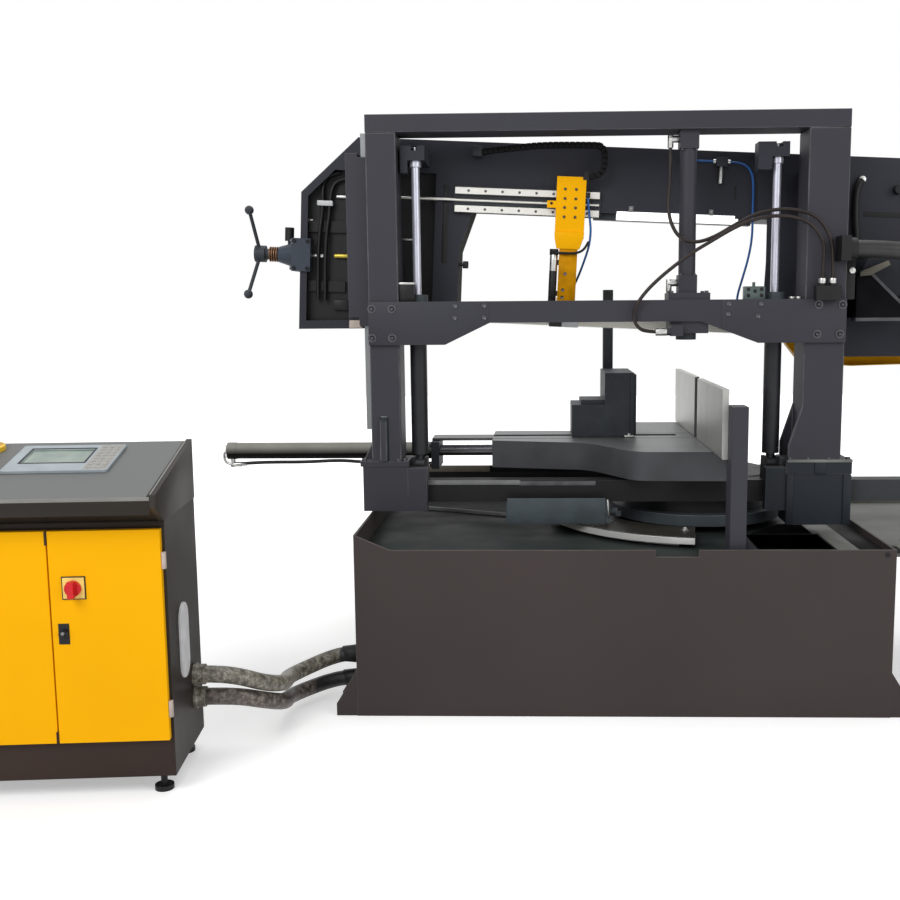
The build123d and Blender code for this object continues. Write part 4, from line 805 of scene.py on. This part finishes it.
cabinetLook = {
    "switch": (-236, 590),
    "lock": (-268, 466),
    "lipHigh": 838.0,
    "deskBack": 931.0,
    "depth": 345.0,
    "overhang": 80.0,
    "width": 600.0,
    "panel": (-313, 198),
    "panelPieces": [
        ("panelKeys", "keypadPaint", "panel", (box, (76, -97, 8.2), (138, 97, 9.4), 0.4), *[
            (rod, (x, y, 9), (x, y, 10.6), 6, 0.6, None, 16)
            for y in range(80, -82, -23) for x in (88, 107, 126)
        ]),
        ("screenFrame", "blackPlastic", "panel", *[
            (box, (*low, 8.5), (*high, 10), 0.4) for low, high in border(-108, -42, 64, 70, 5)
        ]),
    ],
    "slopeHalf": 215.0,
    "slopeStrips": [
        ("deskGaps", "blackPlastic", "black_plastic", 18, 4, -1, 1, 0.3),
        ("cheekEdges", "deskStrip", "desk_grey", 12, 2, 0, 7, 0.6),
    ],
    "deskPieces": [
        ("deskCheeks", "cabinetPaint", "anthracite", *[
            (prism, [(-82, 810), (-82, 844), (347, 937), (347, 762), (0, 760)], "x", x, x + 16, 1.2)
            for x in (-602, -14)
        ]),
        ("deskStrip", "deskStrip", "desk_grey", (box, (-586, -81.5, 829), (-14, -79.5, 838.6), 0.5)),
        ("plinthPlate", "plinthPaint", "anthracite", (box, (-599, -1.4, 57), (-1, 0.5, 162), 0.5)),
        ("bandPlate", "bandPaint", "anthracite", (box, (-599, -1.4, 744), (-1, 0.5, 761), 0.5)),
        ("lipSkirt", "lipPaint", "anthracite", (box, (-586, -81.5, 792), (-14, -79, 830), 1)),
    ],
    "doorPieces": {
        "door_left": [
            ("doorLatches", "latchBrown", "black_plastic", (box, (-305, -21.5, 705), (-298.5, -12, 742), 0.5),
                (box, (-305, -21.5, 164), (-298.5, -12, 196), 0.5)),
            ("door_leftHinges", "beigePlastic", "zinc", (rod, (-596, -10, 226.6), (-596, -10, 271.4), 7.6, 1),
                (rod, (-596, -10, 634.6), (-596, -10, 679.4), 7.6, 1)),
        ],
        "door_right": [
            ("switchBorder", "blackPlastic", "black_plastic", *[
                (box, (x0, -22, z0), (x1, -19.5, z1), 0.4)
                for (x0, z0), (x1, z1) in border(-264, 562, -208, 618, 3)
            ]),
            ("door_rightHinges", "beigePlastic", "zinc", (rod, (-4, -10, 226.6), (-4, -10, 271.4), 7.6, 1),
                (rod, (-4, -10, 634.6), (-4, -10, 679.4), 7.6, 1)),
        ],
        "door_lock": [
            ("lockPin", "greyPlastic", "zinc", (rod, (-268, -24, 470), (-268, -34.5, 470), 4.2, 0.6)),
        ],
    },
}


def deskPlace(s, x, y):
    rise = (s["deskBack"] - s["lipHigh"]) / (s["depth"] + s["overhang"])
    z = s["lipHigh"] + (y + s["overhang"]) * rise
    return cabinetPlace @ Matrix.Translation(Vector((x, y, z)) * mm) @ Matrix.Rotation(math.atan(rise), 4, "X")


def makeCabinet(s):
    switchX, switchZ = s["switch"]
    lockX, lockZ = s["lock"]
    softenNode(
        "cabinet_shell", 2.0, "cabinetPaint", None, cabinetPlace, [("platePaint", lambda c, n: c.x > 0.5)],
    )
    softenNode(
        "control_desk", 1.5, "lipPaint", None, cabinetPlace,
        [("deskPaint", lambda c, n: n.z > 0.8 and c.z > 815 and n.y < -0.1)],
    )
    softenNode(
        "door_right", 1.2, "yellowPaint", None, cabinetPlace,
        [
            ("creamPlate", lambda c, n: c.y < -20.5 and abs(c.x - switchX) < 30 and abs(c.z - switchZ) < 30),
            ("blackPlastic", lambda c, n: c.y < -20.5 and abs(c.x - lockX) < 16 and abs(c.z - lockZ) < 30),
        ],
    )
    softenNode("door_left", 1.2, "yellowPaint")
    softenNode("main_switch", 1.6, "redPlastic")
    softenNode("door_lock", 0.5, "blackPlastic")
    softenNode("estop_collar", 2.0, "yellowPlastic", outer=True)
    softenNode("estop_button", 5.0, "redPlastic", outer=True)
    softenNode("cabinet_feet", 1.0, "blackPlastic")
    softenNode("conduit_glands", 1.0, "blackPlastic", parts=[("upperBraid", lambda c, n: c.x < -1500)])
    softenNode("hydraulic_unit", 1.5, "motorPaint")
    softenNode(
        "control_plate", 0.8, "zinc", None, cabinetPlace,
        [("greyPlastic", lambda c, n: c.y < 304 and c.z > 480), ("blackPlastic", lambda c, n: c.y < 304)],
    )
    panelPlace = deskPlace(s, *s["panel"])
    softenNode(
        "touch_panel", 1.5, "bezelPaint", None, panelPlace,
        [("screenGlass", lambda c, n: n.z > 0.9 and 5 < c.z < 7)],
    )
    makePieces("base", s["panelPieces"], panelPlace)
    middle, half = (s["depth"] - s["overhang"]) / 2, s["slopeHalf"]
    for name, look, slot, inset, wide, low, high, bevel in s["slopeStrips"]:
        bm = bmesh.new()
        for x in (-s["width"] + inset, -inset):
            box(bm, deskPlace(s, x, middle), (-wide, -half, low), (wide, half, high), bevel)
        makePiece(name, bm, "base", look)
    makePieces("base", s["deskPieces"], cabinetPlace)
    for body, rows in s["doorPieces"].items():
        makePieces(body, rows, cabinetPlace)


makeCabinet(cabinetLook)
print("cabinet finished")

portalLook = {
    "pieces": [
        ("gussetPlates", "anthracite", "anthracite", *[(prism, outline, "y", -363.5, -361, 0.7) for outline in (
            [(-1158, 1188), (-900, 1188), (-750, 1261), (-750, 1333), (-1158, 1333)],
            [(27, 1333), (27, 1235), (150, 1188), (440, 1188), (440, 1333)],
        )]),
        ("beamBolts", "screwSteel", "zinc", *screws([(x, -363.5, z) for x, z in (
            (-1146, 1310), (-1078, 1309), (-1146, 1212), (-1078, 1212), (347, 1314), (426, 1313), (344, 1216),
            (420, 1216),
        )], front, 9, 7, True), *screws([(x, -363.5, z) for x, z in (
            (-864, 1319), (-767, 1319), (-866, 1279), (-767, 1279), (50, 1319), (156, 1318), (48, 1285),
            (147, 1277),
        )], front, 8, 3)),
        ("pressScrews", "screwSteel", "zinc",
            *screws([(x, y, 1356) for x in (-138, -21) for y in (-338, -245)], up, 7, 7),
            *screws([(-106, -323, 1416), (-60, -323, 1416)], up, 5, 5),
            *screws([(-106, -323, 1829), (-60, -323, 1829)], (0, 0, -1), 5, 5)),
        ("hoseFerrules", "zinc", "zinc",
            *[(rod, (-147, -300, z), (-113.5, -300, z), 11.8, 1) for z in (1390, 1863)],
            *[(rod, (-143, -300, z - 28.5), (-143, -300, z + 12), 9.8, 1) for z in (1390, 1863)],
            (rod, (-194.5, -378, 1227), (-158, -378, 1227), 12.6, 1),
            *[(rod, (x, -378, 1383), (x, -378, 1400), 12.4, 1) for x in (352, 386)]),
        ("clampPlate", "clampPaint", "dark_iron", (box, (-694, -364, 573), (-357, -359, 662), 1.5)),
        ("clampPin", "zinc", "zinc", (rod, (-350, -362, 657), (-346, -362, 597), 3.5, 0.6)),
        ("footRibs", "footPaint", "anthracite", (box, (258, -358, 567), (281, -345, 741), 2),
            (box, (450, -358, 567), (477, -345, 741), 2), (box, (352, -360, 742), (390, -352, 783), 2)),
        # Painted highlight: a light strip along the foot plate's lit top edge
        ("footCapEdge", "wornEdge", "anthracite", (box, (259, -360, 782), (479, -350, 792), 2.5)),
        ("columnPin", "footPaint", "anthracite", (rod, (-1114, -344, 789), (-1114, -344, 943), 17, 3)),
        ("columnPinCap", "wornEdge", "zinc", (rod, (-1114, -344, 941), (-1114, -344, 946), 13, 1)),
        ("footBolts", "screwSteel", "zinc",
            *screws([(x, -343, 790) for x in (-1186, -1046, -1070)], up, 9, 9, True),
            *screws([(x, -344, 790) for x in (268, 330, 400, 466)], up, 9, 9, True)),
        # Painted highlight: light strips along the tie beam's lit top edge
        ("beamWearStrip", "wornEdge", "anthracite", (box, (-1056, -308, 700), (-650, -304, 716), 1.2)),
        ("beamScrapeStrip", "anthraciteEdge", "anthracite", (box, (-652, -308, 697), (-388, -304, 712), 1.2)),
        ("valveBlock", "valvePaint", "zinc", (box, (106, -340, 1332), (174, -300, 1376), 2),
            (rod, (139, -320, 1375), (139, -320, 1390), 5, 0.8)),
        ("portalBrackets", "blackPlastic", "black_plastic", *[
            (rod, (x, -342, z), (x, -338, z), 6, 0.6)
            for x, z in ((118, 1346), (140, 1360), (162, 1346), (118, 1366), (162, 1366))
        ], (box, (-1062, -338, 1332), (-1004, -306, 1392), 2), (box, (439, -302, 1330), (482, -258, 1462), 2)),
        ("portalWashers", "zinc", "zinc", (box, (-1064, -340, 1391), (-1002, -304, 1398), 1.5),
            *[(rod, (x, -318, 1332), (x, -318, 1341), 11, 1) for x in (268, 291)],
            (rod, (470, -301, 1427), (470, -310, 1427), 11, 2)),
    ],
}


def makePortal(s):
    softenNode("swivel_beam", 2.0, "tieBeamPaint", "wornEdge")
    for node in ("left_foot", "top_beam", "cross_beam"):
        softenNode(node, 2.0, "anthracite", "anthraciteEdge")
    softenNode("right_foot", 2.0, "footPaint", "anthraciteEdge")
    softenNode("left_column", 4.0, "anthracite", "anthraciteEdge")
    softenNode("right_column", 4.0, "anthracite", "anthraciteEdge", joined=False)
    softenNode("column_rails", 0.8, "columnRail")
    softenNode(
        "lift_cylinders", 1.0, "liftPaint", "anthraciteEdge",
        parts=[("clampPaint", lambda c, n: c.z > 1300 and abs(n.z) < 0.5)],
    )
    softenNode("press_cylinder", 1.2, "anthracite", "anthraciteEdge")
    softenNode("press_foot", 0.6, "chrome", parts=[("castIron", lambda c, n: c.z < 1222)])
    softenNode("swivel_clamp", 2.0, "clampPaint")
    softenNode("hose_manifold", 1.0, "blackPlastic")
    makePieces("swivel", s["pieces"])


makePortal(portalLook)
print("portal finished")

headLook = {
    "rightWall": {"from": 150, "to": 232, "top": 400, "front": -100, "lean": 0.27, "corner": 380, "square": 50},
    "shaft": {"from": -40.0, "ease": 0.98},
    "spring": (-1573.9, -1540.1),
    "screws": [
        ("railScrews", "screwSteel", "zinc",
            *screws([(-851.6 + 60 * k, -124, w) for k in range(8) for w in (443, 380)], front, 5.2, 0.15)),
        ("housingScrews", "screwSteel", "zinc",
            *screws([(-1480, y, w) for y in (-100, 20) for w in (149, 245)], left, 7, 7)),
    ],
    "armPieces": [
        ("armScrews", "screwSteel", "zinc",
            *screws([(u, -166, w) for u in (-512, -474) for w in (457, 425, 394, 362)], front, 5, 3),
            *screws([(-499, -167.4, 166), (-505, -167.4, 110), (-506, -167.4, 84)], front, 6, 2)),
        ("armApron", "yellowPaint", "yellow", (
            prism, [(-543, 310), (-439, 310), (-441, 290), (-453, 252), (-534, 252), (-542, 290)],
            "y", -172, -165.5, 1.2,
        )),
        # Painted shade: the set-back lower plate in the darker yellow
        ("armLowPlate", "armPaint", "yellow", (box, (-521.5, -167.4, 62), (-460.5, -165.5, 251), 0.6)),
        ("armBlocks", "blackPlastic", "black_plastic", (box, (-440.4, -167, 431.4), (-424.4, -149.4, 448.6), 1),
            (box, (-547, -166, -20), (-502, -118, 64), 2), (screw, (-558, -166, 407), front, 5, 2)),
        ("guideShoe", "whitePlastic", "zinc", (box, (-503, -164, -20), (-444, -124, 40), 2)),
        ("armCylinder", "blackPlastic", "black_plastic", (rod, (-541, -150, 61.5), (-541, -150, 175), 14, 1),
            (rod, (-541, -150, 230.5), (-541, -150, 251), 15.5, 1.5)),
        ("armCylinderRing", "zinc", "zinc", (rod, (-541, -150, 174), (-541, -150, 231.5), 13.9, 0.8)),
    ],
    "airPieces": [
        ("airFittings", "castIron", "black_plastic", (box, (11, -128.4, 559.6), (51, -99, 590.4), 1.5),
            (box, (-98.4, -128.4, 561.6), (-71.8, -99, 592.4), 1.5),
            (box, (103.6, -131.4, 55.6), (128.4, -106.6, 80.4), 1.5),
            (rod, (128, -119, 66), (168, -119, 66), 6.2), (rod, (116, -119, 80), (116, -119, 92), 8.2, 0.6),
            (box, (-839.7, -170.4, 557.6), (-807.6, -99, 592.4), 1.5)),
        ("valveStem", "zinc", "zinc", (rod, (31, -114, 502), (31, -114, 561), 8.2, 0.6),
            (rod, (1, -114, 577), (12, -114, 577), 8.2, 0.6),
            (rod, (50, -114, 577), (61, -114, 577), 8.2, 0.6)),
    ],
    "legPieces": [
        ("hoseClip", "whitePlastic", "light", (box, (-1394, -93, 374), (-1338, -74, 392), 2)),
        ("legFittings", "zinc", "zinc", (rod, (-1328, -67, 409), (-1284, -67, 410), 7, 0.8),
            (rod, (-1414, -67, 197), (-1372, -67, 197), 8, 0.8), (box, (-1436, -70, 317), (-1412, -60, 326), 1),
            (box, (-1104, -67, 265), (-1047, -60, 271), 1), (box, (-1095, -67, 44), (-1072, -60, 50), 1),
            *screws([(-275, -104.5, 405), (7, -104.5, 405)], front, 4.5, 4),
            (rod, (524, -98, 536), (524, -118, 536), 12, 2)),
        ("legPin", "springSteel", "zinc", (rod, (-1386, -66, 288), (-1386, -66, 230), 5, 0.6)),
        ("legRod", "brass", "zinc", (rod, (-1331, -68, 199), (-1274, -68, 200), 9, 0.8)),
        ("headFixings", "blackPlastic", "black_plastic", (box, (-1329, -76, 6), (-1277, -60, 42), 2),
            (rod, (-884, -82, 186), (-858, -82, 186), 5, 0.6), (box, (-866, -86, 173), (-845, -78, 199), 3),
            *screws([(u, -110, w) for u in (-1470, -1422) for w in (149, 245)], front, 7, 4),
            (box, (80, -101, 450), (90, -99, 496), 0.3), (box, (-941, -101.5, 188), (-922, -99, 462), 0.5),
            # Painted shade: the long black strip on the box front stands for a groove
            (box, (541, -101.5, 410), (860, -99, 428), 0.5), (rod, (651, -99, 505), (651, -130, 505), 16, 3)),
    ],
    "boxHose": [
        (524, -112, 534), (512, -113, 520), (506, -113, 480), (510, -113, 400), (520, -113, 340),
        (522, -110, 300),
    ],
    "boxHoseWide": 24,
    "lampPieces": [
        ("lampLens", "lampCover", "light", (box, (-325, -103, 363), (92, -71, 394), 2)),
        ("lampClips", "greyPlastic", "light", (box, (-326, -104, 360.5), (93, -70, 363.5), 0.6),
            *[(box, (u - 8, -105, 392), (u + 8, -99, 413), 1) for u in (-275, 7)]),
        # Painted highlight: a light strip along the box's lower edge
        ("boxEdge", "wornEdge", "anthracite", (box, (532, -103, 321), (862, -99, 329), 1)),
    ],
    "driveEnd": [
        # Painted highlights: the light strip and edge lines along the guard's diagonal
        ("gearGuardStrip", "hemPaint", "motor_grey", (
            prism, [(512, 1408), (512, 1424), (606, 1461), (613, 1446), (548, 1412)], "y", -257, -250, 1,
        )),
        # Painted shade: a black block filling the dark below the guard's diagonal
        ("gearGuardWell", "soot", "motor_grey", (
            prism, [(502, 1267), (705, 1267), (642, 1327), (556, 1410), (500, 1408)], "y", -254, -98, 1.5,
        )),
        ("gearGuardEdge", "anthraciteEdge", "motor_grey",
            (prism, [(546, 1414), (554, 1421), (712, 1268), (704, 1261)], "y", -256, -250, 1),
            (box, (501, -256, 1256), (706, -200, 1268), 1.5)),
        ("carriageScraper", "beigePlastic", "zinc", (box, (-1232, -309, 1246), (-1190, -282, 1272), 1.5)),
    ],
}


def makeHead(s):
    bow = softenNode(
        "bow_frame", 2.0, "headPaint", "anthraciteEdge", headPlace,
        [
            ("windowPaint", lambda c, n: c.x < -960 and -80 < c.y < -40 and n.y < -0.5),
            ("revealPaint", lambda c, n: -960 < c.x < -700 and n.x > 0.3 and abs(n.y) < 0.3),
        ], joined=False,
    )
    wall = s["rightWall"]
    back, along = headPlace.inverted(), headPlace.to_3x3() @ Vector((mm, 0, 0))
    # No inner wall shows at the right leg: it leans back and its corner is square
    for vert in bow.data.vertices:
        u, y, w = back @ vert.co / mm
        if wall["from"] < u < wall["to"] and w < wall["top"]:
            square = wall["square"] if w > wall["corner"] else 0
            vert.co += along * (wall["lean"] * (y - wall["front"]) + square)
    softenNode("head_carriages", 1.5, "anthracite", "anthraciteEdge")
    softenNode(
        "tension_housing", 2.0, "blockPaint", None, headPlace,
        [("blackPlastic", lambda c, n: c.z > 246 and c.x < -1484)],
    )
    first, last = s["spring"]
    softenNode(
        "tension_handle", 0.6, "castIron", None, headPlace,
        [("springSteel", lambda c, n: first < c.x < last and n.x < 0.99)],
    )
    softenNode("tension_slide", 1.5, "castIron")
    softenNode("idler_wheel", 1.0, "castIron")
    drive = softenNode("drive_wheel", 1.0, "castIron", outer=True)
    middle, ease = Vector(joints["drive_spin"]["pos_m"]), s["shaft"]["ease"]
    for vert in drive.data.vertices:        # the shaft's facets turn clear of its bore's
        reach = vert.co - middle
        if reach.y < s["shaft"]["from"] * mm:
            vert.co = middle + Vector((reach.x * ease, reach.y, reach.z * ease))
    softenNode("lift_rods", 0.6, "chrome")
    softenNode(
        "arm_rails", 0.8, "railSteel", None, headPlace,
        [("castIron", lambda c, n: c.y > -109 or (n.y < -0.9 and c.y > -110))],
    )
    softenNode("fixed_guide", 1.0, "castIron")
    softenNode(
        "light_bar", 1.0, "castIron", None, headPlace,
        [("lampCover", lambda c, n: -322.5 < c.x < 109.5 and abs(n.x) < 0.5)], joined=False,
    )
    softenNode("gear_motor", 1.5, "motorPaint", outer=True)
    for cover in ("wheel_cover_left", "wheel_cover_right"):
        softenNode(cover, 2.0, "yellowPaint", "yellowEdge")
    softenNode("guide_arm", 2.0, "yellowPaint", None, headPlace, [
        ("castIron", lambda c, n: c.z < 29),
        ("groundSteel", lambda c, n: c.y > -149.5 and c.z > 330),
        ("blackPlastic", lambda c, n: c.x > -453 and c.z > 489),
        ("blackPlastic", lambda c, n: c.x < -523 and c.z < 250 and -159 < c.y < -141),
    ])
    for slot in nodes["saw_blade"].material_slots:
        slot.material = finish["bladeSteel"]
    makePieces("head", s["screws"], headPlace)
    makePieces("guide_arm", s["armPieces"], headPlace)
    for piece in makePieces("head", s["airPieces"], headPlace).values():
        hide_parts("head_hoses")
    makePieces("head", s["legPieces"], headPlace)
    makeHose("boxHose", s["boxHose"], s["boxHoseWide"], "blackRubber", "black_hose", "head", headPlace)
    makePieces("head", s["lampPieces"], headPlace)
    makePieces("head", s["driveEnd"])


makeHead(headLook)
print("head finished")

studio = {
    "floorSize": 24.0,
    "floorColour": (0.86, 0.86, 0.86, 1),
    "floorHaze": 1.5,
    "floorDark": 0.985,
    "floorRough": (0.7, 0.85),
    "floorGloss": 0.1,
    "floorGlow": 0.4,
    "middle": (-0.6, -0.4, 0.0),
    "farFloor": (2.3, 3.6),
    "ambient": 0.4,
    "lamps": {      # place, aim, size, power
        "keyPanel": ((-3.4, -5.2, 4.6), (-0.4, -0.3, 1.0), 3.2, 205.0),
        "fillPanel": ((4.2, -4.2, 3.0), (0.0, -0.3, 1.0), 3.5, 80.0),
        "topPanel": ((-0.4, 0.6, 5.4), (-0.4, -0.2, 0.8), 4.0, 105.0),
    },
}


def combine(tree, kind, operation, first, second):
    node = addNode(tree, kind, {0: first, 1: second})
    node.operation = operation
    return node.outputs["Value"]


def seenDirectly(tree):
    # 1 for what the lens, bare metal or glass sees, 0 for the light that falls on the machine
    path = tree.nodes.new("ShaderNodeLightPath").outputs
    most = path["Is Camera Ray"]
    for other in ("Is Glossy Ray", "Is Transmission Ray"):
        most = combine(tree, "Math", "MAXIMUM", most, path[other])
    return most


def makeStudio(s):
    bm = bmesh.new()
    bmesh.ops.create_grid(bm, x_segments=2, y_segments=2, size=s["floorSize"] / 2)
    mesh = bpy.data.meshes.new("studioFloor")
    bm.to_mesh(mesh)
    bm.free()
    floor = bpy.data.objects.new("studioFloor", mesh)
    scene.collection.objects.link(floor)
    tree, shader, spot = newFinish("floorPaint")
    haze = addNoise(tree, spot, s["floorHaze"], 3.0)
    low = shade(s["floorColour"], s["floorDark"])
    feed(tree, shader, {
        "Base Color": addRamp(tree, haze, [low, s["floorColour"]]),
        "Roughness": addRange(tree, haze, *s["floorRough"]), "Specular IOR Level": s["floorGloss"],
    })
    reach = combine(tree, "VectorMath", "DISTANCE", spot, s["middle"])
    bright = addRange(tree, reach, s["floorGlow"], 1.0, *s["farFloor"])
    strength = combine(tree, "Math", "MULTIPLY", seenDirectly(tree), bright)
    glow = addNode(tree, "Emission", {"Strength": strength}).outputs["Emission"]
    both = addNode(tree, "AddShader", {0: shader.outputs["BSDF"], 1: glow}).outputs["Shader"]
    feed(tree, tree.nodes["Material Output"], {"Surface": both})
    mesh.materials.append(finish["floorPaint"])
    world = bpy.data.worlds.new("studio")
    world.use_nodes = True
    tree = world.node_tree
    strength = addRange(tree, seenDirectly(tree), s["ambient"], 1.0, 0.0, 1.0)
    feed(tree, tree.nodes["Background"], {"Color": (1, 1, 1, 1), "Strength": strength})
    scene.world = world
    for name, (place, aim, size, power) in s["lamps"].items():
        light = bpy.data.lights.new(name, "AREA")
        light.energy = power
        light.size = size
        holder = bpy.data.objects.new(name, light)
        holder.location = place
        holder.rotation_euler = (Vector(aim) - Vector(place)).to_track_quat("-Z", "Y").to_euler()
        scene.collection.objects.link(holder)


makeStudio(studio)
scene.view_settings.view_transform = "Standard"
print("studio lit")
